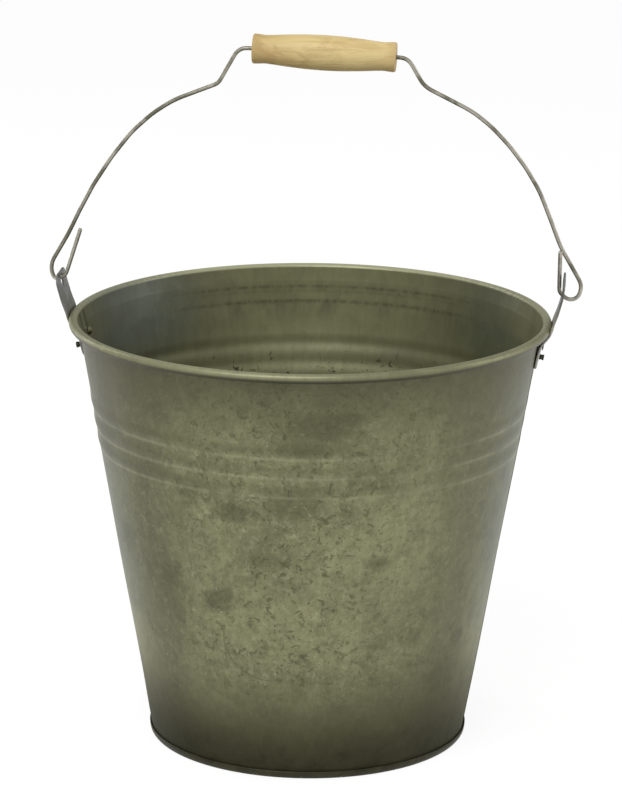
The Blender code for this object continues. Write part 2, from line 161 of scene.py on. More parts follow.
# Arch corners as (share of the ear's reach, share of the grip's height, bend radius)
LEFT_ARCH = [
    (-0.871, 0.413, 0.0600),
    (-0.718, 0.648, 0.0500),
    (-0.550, 0.788, 0.0400),
    (-0.370, 0.861, 0.0060),
]
RIGHT_ARCH = [
    (0.440, 0.869, 0.0150),
    (0.636, 0.769, 0.0400),
    (0.782, 0.625, 0.0500),
    (0.902, 0.438, 0.0500),
]

# Soft waves of the sheet as (times round, radians for each metre up, start, share)
BUCKLE_WAVES = (
    (3.0, 21.0, 0.6, 0.8),
    (5.0, -37.0, 2.1, 0.5),
    (9.0, 55.0, 4.0, 0.28),
    (14.0, -80.0, 1.3, 0.14),
)

# Marks as (azimuth, height, half width in degrees, half height, strength)
OUTER_STAINS = [
    (-111.5, 0.112, 5.0, 0.0070, 0.80),
    (-108.5, 0.118, 2.5, 0.0060, 0.60),
    (-128.5, 0.122, 7.0, 0.0120, 0.45),
    (-150.0, 0.134, 7.0, 0.0160, 0.45),
    (-105.0, 0.171, 9.0, 0.0085, 0.46),
    (-118.0, 0.182, 9.0, 0.0090, 0.40),
    (-98.0, 0.141, 10.0, 0.0090, 0.40),
    (-64.5, 0.139, 6.0, 0.0065, 0.50),
    (-75.5, 0.231, 6.0, 0.0070, 0.55),
    (-82.0, 0.226, 10.0, 0.0110, 0.56),
    (-88.0, 0.178, 11.0, 0.0140, 0.50),
    (-86.0, 0.213, 10.0, 0.0100, 0.46),
    (-86.0, 0.066, 20.0, 0.0120, 0.30),
    (-30.0, 0.079, 4.0, 0.0065, 0.70),
    (-34.0, 0.060, 13.0, 0.0220, 0.34),
    (-154.0, 0.222, 9.0, 0.0360, 1.00),
    (-125.0, 0.226, 6.0, 0.0160, 0.34),
    (60.0, 0.110, 14.0, 0.0180, 0.60),
    (115.0, 0.160, 12.0, 0.0140, 0.50),
    (88.0, 0.215, 20.0, 0.0160, 0.40),
]
PALE_PATCHES = [
    (-63.0, 0.142, 24.0, 0.034, 1.15),
    (-121.0, 0.208, 10.0, 0.020, 0.50),
    (-60.0, 0.226, 10.0, 0.020, 1.10),
    (-108.0, 0.226, 11.0, 0.020, 0.85),
    (-110.0, 0.118, 16.0, 0.045, 0.75),
    (-82.0, 0.090, 18.0, 0.030, 0.22),
    (-128.0, 0.070, 14.0, 0.026, 0.75),
    (-150.0, 0.068, 13.0, 0.024, 0.60),
    (95.0, 0.120, 26.0, 0.045, 0.70),
    (45.0, 0.180, 16.0, 0.030, 0.55),
    (150.0, 0.100, 16.0, 0.035, 0.50),
]

# One curved scratch on the front, as a circle's middle in X and Z and its radius
SCRATCH_MIDDLE = (-0.0128, 0.0906)
SCRATCH_RADIUS = 0.0266

# Oval figure in the grip's wood: its middle in X and Z and half its length and height
OVAL_MIDDLE = (-0.0140, 0.4160)
OVAL_HALF = (0.0150, 0.0055)

# Camera fitted to the photograph: angles, distance, aim point and lens in image heights
CAMERA_AZIMUTH_DEG = 5.6
CAMERA_ELEVATION_DEG = 14.87
CAMERA_ROLL_DEG = 0.43
CAMERA_DISTANCE = 2.2405
CAMERA_AIM_ASIDE = 0.00076
CAMERA_AIM_HEIGHT = 0.2073
CAMERA_LENS_HEIGHTS = 3705.3 / 800.0

# Lamps as name, place, the setting that holds their power, and their width and height
LAMPS = (
    ("key_lamp", (-0.5, -1.7, 2.2), "key", (1.6, 1.2)),
    ("right_lamp", (1.9, 0.35, 0.9), "side", (0.5, 1.6)),
    ("left_lamp", (-1.7, 1.0, 0.9), "side", (0.30, 1.6)),
)
LAMP_AIM = (0.0, 0.0, 0.16)

# How metallic the zinc is, the floor's greys, and the share of its own glow seen by the camera
ZINC_METALLIC = 0.35
FLOOR_GREY = (0.60, 0.60, 0.60, 1.0)
FLOOR_WHITE = (0.95, 0.95, 0.95, 1.0)
FLOOR_GLOW_SHARE = 0.80


class BodySizes(bpy.types.PropertyGroup):
    """Sizes of the sheet-metal body."""

    height: bpy.props.FloatProperty(
        name="Height", description="Ground to the top of the rim",
        default=round(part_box("rear_wall")[1].z, 5), unit="LENGTH")
    rim_radius: bpy.props.FloatProperty(
        name="Rim radius", description="Outer radius of the rolled rim",
        default=round(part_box("rear_wall")[1].y, 4), unit="LENGTH")
    sheet: bpy.props.FloatProperty(
        name="Sheet", description="Thickness of the wall sheet", default=0.0008, unit="LENGTH")
    rib_depth: bpy.props.FloatProperty(
        name="Rib depth", description="How far each pressed rib stands out",
        default=0.0005, unit="LENGTH")
    buckle: bpy.props.FloatProperty(
        name="Buckle", description="Height of the soft waves left in the sheet by knocks",
        default=0.00022, unit="LENGTH")


class FittingSizes(bpy.types.PropertyGroup):
    """Sizes of the ears, the bail and the grip."""

    ear_width: bpy.props.FloatProperty(
        name="Ear width", description="Width of each strap ear", default=0.030, unit="LENGTH")
    wire_radius: bpy.props.FloatProperty(
        name="Wire radius", description="Radius of the bail wire", default=0.00125, unit="LENGTH")
    grip_length: bpy.props.FloatProperty(
        name="Grip length", description="Length of the wooden grip", default=0.085, unit="LENGTH")
    grip_end: bpy.props.FloatProperty(
        name="Grip end", description="Radius of the grip at its ends",
        default=0.0089, unit="LENGTH")
    grip_belly: bpy.props.FloatProperty(
        name="Grip belly", description="Radius of the grip in its middle",
        default=0.0105, unit="LENGTH")


class Finishes(bpy.types.PropertyGroup):
    """Colours of the finishes."""

    # Laid both as pale patina and as the painted reflection on the inside's back wall
    pale_patina_and_reflection: bpy.props.FloatVectorProperty(
        name="Pale patina", description="Lightest zinc patina", subtype="COLOR",
        default=(0.285, 0.286, 0.150))
    patina_mid: bpy.props.FloatVectorProperty(
        name="Patina", description="Usual zinc patina", subtype="COLOR",
        default=(0.190, 0.189, 0.096))
    # Laid both as dark patina and as painted shade on the flanks, below the rim and above the ribs
    dark_patina_and_shade: bpy.props.FloatVectorProperty(
        name="Dark patina", description="Stained zinc patina", subtype="COLOR",
        default=(0.086, 0.083, 0.036))
    # Colour of the painted shade on the inside's sides, also laid in darker runs below the rim
    shade: bpy.props.FloatVectorProperty(
        name="Inner shade", description="Greenish dark film inside the bucket", subtype="COLOR",
        default=(0.074, 0.084, 0.054))
    # Colour of the painted bluish sheen high on one side of the inside and near the outer sides
    film: bpy.props.FloatVectorProperty(
        name="Inner film", description="Bluish film high on one side of the inside",
        subtype="COLOR", default=(0.122, 0.136, 0.122))
    # Laid both as dirt and as painted shade: at the foot, along the seams, under the bead and at
    # the lap edges
    soil: bpy.props.FloatVectorProperty(
        name="Soil", description="Dirt at the foot and in the seams", subtype="COLOR",
        default=(0.021, 0.019, 0.003))
    # Laid both as bare zinc in the mottle and as painted highlights on the rim's top, below the
    # ribs and low on the inside's back wall
    bare_zinc_and_highlight: bpy.props.FloatVectorProperty(
        name="Bare zinc", description="Zinc rubbed bright on the rim and the ribs",
        subtype="COLOR", default=(0.470, 0.472, 0.290))
    steel: bpy.props.FloatVectorProperty(
        name="Steel", description="Strap ears and rivets", subtype="COLOR",
        default=(0.185, 0.190, 0.180))
    wire: bpy.props.FloatVectorProperty(
        name="Wire", description="Bail wire", subtype="COLOR",
        default=(0.500, 0.475, 0.400))
    wood: bpy.props.FloatVectorProperty(
        name="Wood", description="Pale wood of the grip", subtype="COLOR",
        default=(0.890, 0.705, 0.330))
    wood_dark: bpy.props.FloatVectorProperty(
        name="Wood grain", description="Darker grain of the grip", subtype="COLOR",
        default=(0.530, 0.350, 0.130))


class StageSizes(bpy.types.PropertyGroup):
    """Floor and light levels."""

    floor_size: bpy.props.FloatProperty(
        name="Floor", description="Side of the square floor", default=14.0, unit="LENGTH")
    backdrop: bpy.props.FloatProperty(
        name="Backdrop", description="Brightness of the floor as the camera sees it", default=1.09)
    sky: bpy.props.FloatProperty(
        name="Sky", description="Strength of the even light from all round", default=0.48)
    key: bpy.props.FloatProperty(
        name="Key", description="Power of the lamp above the front", default=30.0, unit="POWER")
    side: bpy.props.FloatProperty(
        name="Side", description="Power of the lamps at both sides", default=9.0, unit="POWER")


def sizes():
    """Settings of the current scene as (body, fittings, finishes, stage)."""
    scene = bpy.context.scene
    return scene.bucket_body, scene.bucket_fittings, scene.bucket_finishes, scene.bucket_stage


# Shapes

def ramp(x, start, stop):
    """0 before start, 1 after stop and the smooth cubic 3t^2 - 2t^3 between them."""
    t = np.clip((x - start) / (stop - start), 0.0, 1.0)
    return t * t * (3.0 - 2.0 * t)


def bump(x, centre, half):
    """Bell of height 1 at centre: exp(-((x - centre) / half)^2)."""
    return np.exp(-((x - centre) / half) ** 2)


def turned(angle):
    """Angle in degrees brought between -180 and 180."""
    return (angle + 180.0) % 360.0 - 180.0


def round_angles(count):
    """Even angles of a full turn."""
    return np.linspace(0.0, 2.0 * math.pi, count, endpoint=False)


def grid_faces(rows, columns, wrap_rows, wrap_columns):
    """Corner numbers of the quads of a grid whose vertices are numbered row by row."""
    last_row = rows if wrap_rows else rows - 1
    last_column = columns if wrap_columns else columns - 1
    row, column = np.meshgrid(np.arange(last_row), np.arange(last_column), indexing="ij")
    below, beside = (row + 1) % rows, (column + 1) % columns
    corners = (row * columns + column, row * columns + beside,
               below * columns + beside, below * columns + column)
    return np.stack(corners, axis=-1).reshape(-1, 4)


def cap_faces(first, columns, centre, flipped):
    """Fan of triangles from one ring of a grid to a vertex in its middle."""
    here = first + np.arange(columns)
    ahead = first + (np.arange(columns) + 1) % columns
    order = (ahead, here) if flipped else (here, ahead)
    return np.stack((*order, np.full(columns, centre)), axis=-1)


def show(name, data):
    """New object with this data in the scene."""
    obj = bpy.data.objects.new(name, data)
    bpy.context.scene.collection.objects.link(obj)
    return obj


def surface(name, points, wrap_rows=False, wrap_columns=False, caps=False, flip=False):
    """Smooth mesh object through a grid of points of shape (rows, columns, 3).

    With caps, the first and the last row are each closed by a fan to their middle.
    """
    rows, columns = points.shape[:2]
    quads = grid_faces(rows, columns, wrap_rows, wrap_columns)
    verts = points.reshape(-1, 3)
    fans = []
    if caps:
        middles = np.stack((points[0].mean(0), points[-1].mean(0)))
        fans = [cap_faces(0, columns, len(verts), True),
                cap_faces((rows - 1) * columns, columns, len(verts) + 1, False)]
        verts = np.vstack((verts, middles))
    if flip:
        quads = quads[:, ::-1]
        fans = [fan[:, ::-1] for fan in fans]
    faces = quads.tolist() + [face for fan in fans for face in fan.tolist()]
    mesh = bpy.data.meshes.new(name)
    mesh.from_pydata(verts.tolist(), [], faces)
    mesh.polygons.foreach_set("use_smooth", np.ones(len(faces), bool))
    mesh.update()
    return show(name, mesh)


def tag(obj, name, values):
    """Store one number per vertex for the piece's material."""
    attribute = obj.data.attributes.new(name, "FLOAT", "POINT")
    attribute.data.foreach_set("value", np.ascontiguousarray(values.ravel(), np.float32))


def run_along(path):
    """Length of a line from its first point to each of its points."""
    steps = np.linalg.norm(np.diff(path, axis=0), axis=1)
    return np.concatenate(([0.0], np.cumsum(steps)))


def round_off(profile, steps, passes):
    """Profile with its corners eased: each side is cut in steps, then neighbours are averaged."""
    profile = np.asarray(profile, float)
    share = np.linspace(0.0, 1.0, steps, endpoint=False)[:, None]
    parts = profile[:-1, None] * (1.0 - share) + profile[1:, None] * share
    return relaxed(np.vstack((parts.reshape(-1, profile.shape[1]), profile[-1:])), passes)


def lathe(name, profile, columns, closed, flip=False):
    """Profile of (radius, height) carried round Z: x = r cos a, y = r sin a, z = height."""
    profile = np.asarray(profile, float)
    angle = round_angles(columns)
    points = np.empty((len(profile), columns, 3))
    points[..., 0] = profile[:, :1] * np.cos(angle)
    points[..., 1] = profile[:, :1] * np.sin(angle)
    points[..., 2] = profile[:, 1:2]
    return surface(name, points, closed, True, not closed, flip)


def finish_piece(obj, body, node, *materials):
    """Give a piece its materials, let it ride on its body and stand for its CAD node."""
    for material in materials:
        obj.data.materials.append(material)
    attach(obj, body)
    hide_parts(node)


# Body

def wall_slope():
    """How much the wall's radius grows with height."""
    body = sizes()[0]
    return (body.rim_radius - BEAD_OVERHANG - FOOT_RADIUS) / body.height


def wall_radius(z):
    """Outer radius of the plain tapered wall at a height."""
    return FOOT_RADIUS + wall_slope() * z


def rib_swell(z):
    """Sum of rounded ribs: each is the square of half a cosine wave one pitch long."""
    body = sizes()[0]
    offset = (z - (body.height - RIB_BELOW_RIM)) / RIB_PITCH
    inside = np.abs(offset) < RIB_COUNT / 2.0
    wave = np.cos(math.pi * (offset + (RIB_COUNT % 2 - 1) / 2.0)) ** 2
    return np.where(inside, wave, 0.0)


def buckles(azimuth, z):
    """Soft waves in the sheet: sines of azimuth and height, eased at the ends."""
    body = sizes()[0]
    a = np.radians(azimuth)
    waves = sum(np.sin(turns * a + up * z + start) * share
                for turns, up, start, share in BUCKLE_WAVES)
    fade = ramp(z, 0.012, 0.040) * (1.0 - ramp(z, body.height - 0.045, body.height - 0.014))
    return body.buckle * waves * fade


def wall_rows():
    """Rows of the wall from the foot to the start of the curl, closer at the ribs and laps."""
    body = sizes()[0]
    lap_top = body.height - LAP_BELOW_RIM
    rib_low = body.height - RIB_BELOW_RIM - RIB_PITCH * RIB_COUNT / 2.0
    rib_high = rib_low + RIB_PITCH * RIB_COUNT
    steps = ((body.sheet + GAP, 4), (LAP_BOTTOM - LAP_EASE, 4), (LAP_BOTTOM, 36), (rib_low, 54),
             (rib_high, 34), (lap_top, 5))
    rows = [np.linspace(low, high, count, endpoint=False)
            for (low, count), (high, _) in zip(steps, steps[1:])]
    return np.concatenate((*rows, np.linspace(lap_top, lap_top + LAP_EASE, steps[-1][1])))


def wall_columns():
    """Azimuth steps of half the body, closer near the two seams."""
    near = LAP_DEG + JOGGLE_CLEAR_DEG + JOGGLE_DEG + 1.0
    return np.concatenate((
        np.linspace(0.0, near, 13, endpoint=False),
        np.linspace(near, 180.0 - near, 152, endpoint=False),
        np.linspace(180.0 - near, 180.0, 14)))


def curl_angles():
    """Angles of the rows of the curl round the middle of the bead."""
    return np.linspace(CURL_START_DEG, CURL_END_DEG, CURL_ROWS)


def curl_path():
    """Concave face of the rolled rim as an arc round the middle of the bead."""
    body = sizes()[0]
    angle = np.radians(curl_angles())
    inner = BEAD_RADIUS - body.sheet
    radius = body.rim_radius - BEAD_RADIUS + inner * np.cos(angle)
    height = body.height - BEAD_RADIUS + inner * np.sin(angle)
    return radius, height


def half_body(name, first_deg, inside):
    """Outer face of half the body.

    The azimuth runs over half a turn plus the two laps. The radius is the taper plus ribs, which
    flatten at the right seam, and buckles, less the joggle: one sheet and its gap, eased in
    azimuth and height at the seams.
    """
    body = sizes()[0]
    rows, columns = wall_rows(), wall_columns()
    lap_top = body.height - LAP_BELOW_RIM
    curl_r, curl_z = curl_path()
    z = np.concatenate((rows, curl_z))[:, None]
    on_wall = np.concatenate((np.ones(len(rows)), np.zeros(len(curl_z))))[:, None]
    lapped = on_wall * (z > LAP_BOTTOM - 1e-6) * (z < lap_top + 1e-6)
    butt = math.degrees(GAP / 2.0 / body.rim_radius)
    share = columns[None, :] / 180.0
    edge = np.where(lapped > 0.5, -LAP_DEG, butt)
    azimuth = first_deg + edge + (180.0 - 2.0 * edge) * share
    to_seam = np.minimum(azimuth - first_deg, first_deg + 180.0 - azimuth)
    ease = LAP_DEG + JOGGLE_CLEAR_DEG
    height_ease = ramp(z, LAP_BOTTOM - LAP_EASE, LAP_BOTTOM) * (
        1.0 - ramp(z, lap_top, lap_top + LAP_EASE))
    joggle = (1.0 - ramp(to_seam, ease, ease + JOGGLE_DEG)) * height_ease * on_wall
    seamward = ramp(np.abs(turned(azimuth)), *RIB_SEAM_DEG)
    pressed = RIB_AT_SEAM + (1.0 - RIB_AT_SEAM) * seamward
    radius = wall_radius(z) + body.rib_depth * pressed * rib_swell(z) + buckles(azimuth, z)
    radius = radius - (body.sheet + GAP) * joggle * (1.0 if inside else 0.0)
    radius = np.where(on_wall > 0.5, radius, np.concatenate((rows, curl_r))[:, None])
    z = np.broadcast_to(z, radius.shape)
    a = np.radians(azimuth)
    obj = surface(name, np.stack((radius * np.cos(a), radius * np.sin(a), z), axis=-1))
    angle = np.concatenate((np.full(len(rows), CURL_START_DEG), curl_angles()))[:, None]
    mark_wall(obj, azimuth, z, to_seam, np.broadcast_to(angle, z.shape))
    first, last = DULL_RUN_DEG
    dull = (turned(azimuth) > first) & (turned(azimuth) < last) & (on_wall > 0.5)
    faces = (dull[:-1, :-1] & dull[1:, 1:]).ravel()
    obj.data.polygons.foreach_set("material_index", np.where(faces, 2, 0).astype(np.int32))
    solid = obj.modifiers.new("sheet", "SOLIDIFY")
    solid.thickness = body.sheet
    solid.offset = -1.0
    solid.use_even_offset = True
    solid.use_quality_normals = True
    solid.material_offset = 1
    solid.material_offset_rim = 0
    return obj


def stain_cover(azimuth, z, stains):
    """Largest of the bells of a list of (azimuth, height, half width, half height, strength)."""
    cover = np.zeros(azimuth.shape)
    for centre, height, width, tall, strength in stains:
        bell = bump(turned(azimuth - centre), 0.0, width) * bump(z, height, tall)
        cover = np.maximum(cover, strength * bell)
    return cover


def mark_wall(obj, azimuth, z, to_seam, curl):
    """Store where the wall is stained and bloomed, and where light and shade are painted on it.

    Painted highlights lie on the rim's top and below the ribs, painted reflection and shade
    inside, painted sheen near the sides, and painted shade on the flanks, under the bead, along
    the seams and laps and at the foot. Each mark is a product or sum of bells and smooth steps of
    azimuth and height; the rim's painted highlight follows the angle of the curl, and the ribs'
    painted shade and highlight lines follow their crests.
    """
    top = sizes()[0].height
    lap_top = top - LAP_BELOW_RIM
    away = np.abs(turned(azimuth - 90.0))

    def near(centre, half):
        """Bell round an azimuth."""
        return bump(turned(azimuth - centre), 0.0, half)

    crests = [top - RIB_BELOW_RIM + (index - (RIB_COUNT - 1) / 2.0) * RIB_PITCH
              for index in range(RIB_COUNT)]
    fade = 1.0 - 0.75 * near(-52.0, 14.0)
    # How far the painted seam shade reaches from each seam, in degrees: widest at the right seam
    right, rearward = np.abs(turned(azimuth)) < 90.0, turned(azimuth) > 0.0
    reach = np.where(right, np.where(rearward, 6.5, 5.0), 3.0)
    lapped = ramp(z, 0.004, 0.010) * (1.0 - ramp(z, lap_top, lap_top + 0.004))
    rings = bump(z, top - 0.0140, 0.0010) + bump(z, top - 0.0232, 0.0012)
    rings += 0.45 * bump(z, top - 0.0168, 0.0010)
    # Painted shade on the inside's sides, with one darker spot near the ribs at the back
    gloom = 0.9 * bump(away, 50.0, 17.0) + (1.0 - ramp(z, 0.225, 0.240)) * ramp(away, 40.0, 62.0)
    gloom *= 1.0 - 0.85 * (1.0 - ramp(z, 0.196, 0.226))
    gloom += 0.5 * near(70.0, 7.0) * bump(z, 0.206, 0.007)
    # Painted highlight on the top of the rolled rim, brightest at the back and faint at the front
    rubbed = ramp(curl, -35.0, 5.0) * (1.0 - ramp(curl, 140.0, 168.0))
    front = 0.18 + 0.26 * near(-100.0, 30.0)
    rear = 1.45 - 1.15 * ramp(away, 8.0, 70.0) - 0.30 * ramp(away, 75.0, 110.0)
    # Painted shade at the foot reaches higher on the right of the front
    foot_shade_side = near(-50.0, 24.0) - 0.6 * near(-130.0, 30.0)
    marks = {
        "stain": stain_cover(azimuth, z, OUTER_STAINS),
        "pale": stain_cover(azimuth, z, PALE_PATCHES),
        "bloom": np.clip((near(-92.0, 46.0) + 0.9 * near(80.0, 50.0)) * ramp(z, 0.030, 0.080),
                         0.0, 1.0),
        # Darker towards the foot: painted shade, ragged like dirt
        "soil": np.clip(1.0 - ramp(z, 0.002, 0.080 + 0.012 * foot_shade_side), 0.0, 1.0),
        # Painted bluish sheen near both sides
        "bluish": (near(-158.0, 13.0) + near(-12.0, 13.0)) * ramp(z, 0.060, 0.140),
        # Painted shade on the two flanks of the front
        "flank": 1.2 * near(-135.0, 16.0) + near(-34.0, 15.0),
        # Painted shade along the seams, widest at the right one
        "seam": (1.0 - ramp(to_seam, reach - 3.5, reach)) * lapped,
        # Painted shade lines just above the rib crests and painted highlight lines below them
        "ledge": sum(bump(z, crest + 0.0005, 0.0026) for crest in crests) * fade,
        "worn": sum(bump(z, crest - 0.0047, 0.0010) for crest in crests) * fade,
        "tide": rings * (1.0 - ramp(away, 26.0, 52.0)),
        # Painted reflection on the inside's back wall
        "glow": near(93.0, 34.0) * (1.0 - 0.45 * ramp(z, 0.205, 0.240)),
        "gloom": np.clip(gloom, 0.0, 1.0),
        # Painted bluish sheen high on one side of the inside
        "film": near(154.0, 20.0) * ramp(z, 0.208, 0.234),
        # Painted shade line at the inner lap edges
        "edge": (bump(to_seam, LAP_DEG + 0.5, 0.8) * ramp(z, 0.010, 0.020)
                 * ramp(curl, 150.0, 178.0)),
        "rubbed": rubbed * (front + (1.0 - front) * rear),
        # Painted shade on the lower half of the rolled bead
        "under": 1.0 - ramp(curl, -35.0, 20.0),
    }
    for name, values in marks.items():
        tag(obj, name, values)


# Materials

class Paint:
    """A node tree with short calls for the nodes that the finishes share.

    A value is a number, a colour, a socket or the name of a number stored on the piece's
    vertices. The colour so far is kept, and each coat goes over it.
    """

    def __init__(self, name, colour):
        self.material = bpy.data.materials.new(name)
        self.material.use_nodes = True
        self.tree = self.material.node_tree
        self.shader = self.tree.nodes["Principled BSDF"]
        self.place = self.add("TexCoord").outputs["Object"]
        self.colour = colour

    def add(self, kind, *values, **settings):
        """New node with its plain settings and the values of its first inputs."""
        node = self.tree.nodes.new(f"ShaderNode{kind}")
        for key, value in settings.items():
            setattr(node, key, value)
        for socket, value in zip(node.inputs, values):
            self.feed(socket, value)
        return node

    def feed(self, socket, value):
        """Link a socket or a stored number, or set a plain number or colour."""
        if isinstance(value, str):
            value = self.add("Attribute", attribute_name=value).outputs["Fac"]
        if isinstance(value, bpy.types.NodeSocket):
            self.tree.links.new(value, socket)
        else:
            socket.default_value = (*value, 1.0) if socket.type == "RGBA" else value

    def math(self, operation, *values):
        """Math node."""
        return self.add("Math", *values, operation=operation).outputs[0]

    def times(self, product, *values):
        """Product of the values."""
        for value in values:
            product = self.math("MULTIPLY", product, value)
        return product

    def line(self, value, slope, start):
        """Value times slope plus start."""
        return self.math("MULTIPLY_ADD", value, slope, start)

    def away(self, first, second):
        """Root of the sum of two squares."""
        return self.math("SQRT", self.line(first, first, self.times(second, second)))

    def mix(self, factor, first, second, blend="MIX"):
        """Colour mix."""
        node = self.add("Mix", factor, data_type="RGBA", blend_type=blend)
        self.feed(node.inputs[6], first)
        self.feed(node.inputs[7], second)
        return node.outputs[2]

    def lay(self, colour, *amounts):
        """Lay a colour over the one so far, as strongly as the product of the amounts."""
        self.colour = self.mix(self.times(*amounts), self.colour, colour)

    def dim(self, factor):
        """Multiply the colour so far by a factor."""
        self.colour = self.mix(1.0, self.colour, factor, "MULTIPLY")

    def noise(self, scale, detail, rough, warp, stretch=None, turn=(0.0, 0.0, 0.0)):
        """Noise between 0 and 1, on Object coordinates or on stretched and turned ones."""
        place = self.place
        if stretch:
            mapping = self.add("Mapping", place)
            mapping.inputs["Scale"].default_value = stretch
            mapping.inputs["Rotation"].default_value = turn
            place = mapping.outputs[0]
        node = self.add("TexNoise", place)
        for key, value in (("Scale", scale), ("Detail", detail), ("Roughness", rough),
                           ("Distortion", warp)):
            node.inputs[key].default_value = value
        return node.outputs["Fac"]

    def span(self, *values):
        """Smooth step of a value between two levels, from 0 to 1 or between two given results."""
        values = values if len(values) > 3 else (*values, 0.0, 1.0)
        return self.add("MapRange", *values, interpolation_type="SMOOTHSTEP").outputs["Result"]

    def axes(self):
        """X, Y and Z of the point."""
        return self.add("SeparateXYZ", self.place).outputs

    def bumps(self, height, strength, distance):
        """Surface relief."""
        node = self.add("Bump")
        for key, value in (("Height", height), ("Strength", strength), ("Distance", distance)):
            self.feed(node.inputs[key], value)
        self.feed(self.shader.inputs["Normal"], node.outputs[0])

    def finish(self, roughness, metallic):
        """Join colour and roughness to the shader and set how metallic it is."""
        self.feed(self.shader.inputs["Base Color"], self.colour)
        self.feed(self.shader.inputs["Roughness"], roughness)
        self.shader.inputs["Metallic"].default_value = metallic
        return self.material


def flecks(paint, scale, low, high, cover=(0.40, 0.58)):
    """Small curled marks: where a warped noise passes one level, kept in patches of another."""
    curled = paint.noise(scale, 4.0, 0.62, 0.9)
    patch = paint.noise(scale * 0.22, 3.0, 0.6, 0.3)
    return paint.times(paint.span(curled, low, high), paint.span(patch, *cover))


def spangles(paint, scale, spread):
    """Faint patchwork of crystal grains: each Voronoi cell has its own brightness."""
    cells = paint.add("TexVoronoi", paint.place)
    cells.inputs["Scale"].default_value = scale
    cells.inputs["Randomness"].default_value = 1.0
    split = paint.add("SeparateColor", cells.outputs["Color"])
    return paint.line(split.outputs[0], spread, 1.0 - spread / 2.0)


def outer_zinc(name, dull):
    """Mottled olive-grey zinc: clouds, crystal grains, curled flecks and stains, with painted
    shade at the foot, on the flanks, below the rim, above the ribs and along the seams, painted
    highlight lines below the ribs and painted bluish sheen near the sides.

    The dull kind, for the run of painted shade along the right seam, has no shine.
    """
    top, look = sizes()[0].height, sizes()[2]
    dark, bare_zinc_and_highlight, soil = look.dark_patina_and_shade, look.bare_zinc_and_highlight, look.soil
    paint = Paint(name, look.patina_mid)
    clouds = paint.noise(16.0, 4.0, 0.55, 0.2)
    blotches = paint.noise(75.0, 6.0, 0.68, 0.25)
    mottle = paint.noise(230.0, 5.0, 0.70, 0.2)
    grain = paint.noise(520.0, 3.0, 0.65, 0.0, (1.0, 1.0, 0.30))
    wash = paint.line("pale", 0.17, paint.line(clouds, 0.50, paint.times(blotches, 0.50)))
    paint.lay(look.pale_patina_and_reflection, paint.span(wash, 0.36, 0.72))
    # Painted shade on the flanks
    paint.lay(dark, "flank", 0.52)
    paint.lay(dark, paint.span(blotches, 0.52, 0.34), 0.16)
    # Painted bluish sheen near the sides
    paint.lay(look.film, "bluish", 0.55)
    busy = paint.line("bloom", 0.85, 0.15)
    paint.lay(bare_zinc_and_highlight, paint.span(mottle, 0.50, 0.64, 0.0, 0.26), busy)
    paint.lay(dark, paint.span(mottle, 0.47, 0.36, 0.0, 0.30), busy)
    ragged = paint.math("ADD", "stain", paint.line(blotches, 0.60, -0.30))
    paint.lay(dark, paint.span(ragged, 0.15, 0.50), paint.span("stain", 0.03, 0.30), 0.60)
    marks = paint.math("MAXIMUM", flecks(paint, 215.0, 0.572, 0.607, (0.36, 0.50)),
                       flecks(paint, 400.0, 0.60, 0.64, (0.40, 0.50)))
    marks = paint.math("MAXIMUM", paint.times(marks, paint.line("bloom", 0.62, 0.03)),
                       scratch(paint))
    paint.lay(dark, marks)
    light = flecks(paint, 300.0, 0.60, 0.64, (0.46, 0.54))
    paint.lay(bare_zinc_and_highlight, light, paint.line("bloom", 0.30, 0.05))
    paint.dim(spangles(paint, 150.0, 0.16))
    paint.dim(paint.line(grain, 0.36, 0.82))
    broken = paint.times(paint.span(blotches, 0.36, 0.54, 0.40, 1.0),
                         paint.span(clouds, 0.36, 0.56, 0.45, 1.0))
    # Painted shade lines above the ribs and painted highlight lines below them
    paint.lay(dark, "ledge", broken, 0.44)
    paint.lay(bare_zinc_and_highlight, "worn", broken, 0.36)
    # Painted shade on the wall below the rim
    paint.lay(dark, paint.span(paint.axes()[2], top - 0.060, top - 0.012, 0.0, 0.74),
              paint.span(clouds, 0.25, 0.60, 0.70, 1.0))
    # Painted shade at the foot, ragged like dirt
    edge = paint.line(blotches, 0.50, -0.25)
    paint.lay(soil, paint.line(edge, paint.span("soil", 0.0, 0.4), "soil"), 0.93)
    # Painted shade along the seams, broken up like dirt
    paint.lay(soil, "seam", paint.span(blotches, 0.30, 0.62, 0.95, 0.55), 0.84)
    rough = paint.line(marks, 0.15, paint.line(mottle, 0.22, 0.34))
    rough = paint.line(paint.math("MAXIMUM", "soil", "seam"), 0.34, rough)
    paint.bumps(paint.line(mottle, 0.5, blotches), 0.30, 0.0005)
    paint.shader.inputs["Specular IOR Level"].default_value = 0.0 if dull else 0.5
    return paint.finish(rough, 0.0 if dull else ZINC_METALLIC)


def scratch(paint):
    """One curved scratch low on the front: a piece of a circle in X and Z."""
    x, y, z = paint.axes()
    side = paint.math("SUBTRACT", x, SCRATCH_MIDDLE[0])
    rise = paint.math("SUBTRACT", z, SCRATCH_MIDDLE[1])
    off = paint.math("ABSOLUTE", paint.math("SUBTRACT", paint.away(side, rise), SCRATCH_RADIUS))
    low = paint.times(paint.span(rise, 0.006, 0.002), paint.span(side, 0.004, 0.001))
    front = paint.math("LESS_THAN", y, 0.0)
    return paint.times(paint.span(off, 0.0007, 0.0002), low, paint.times(front, 0.42))


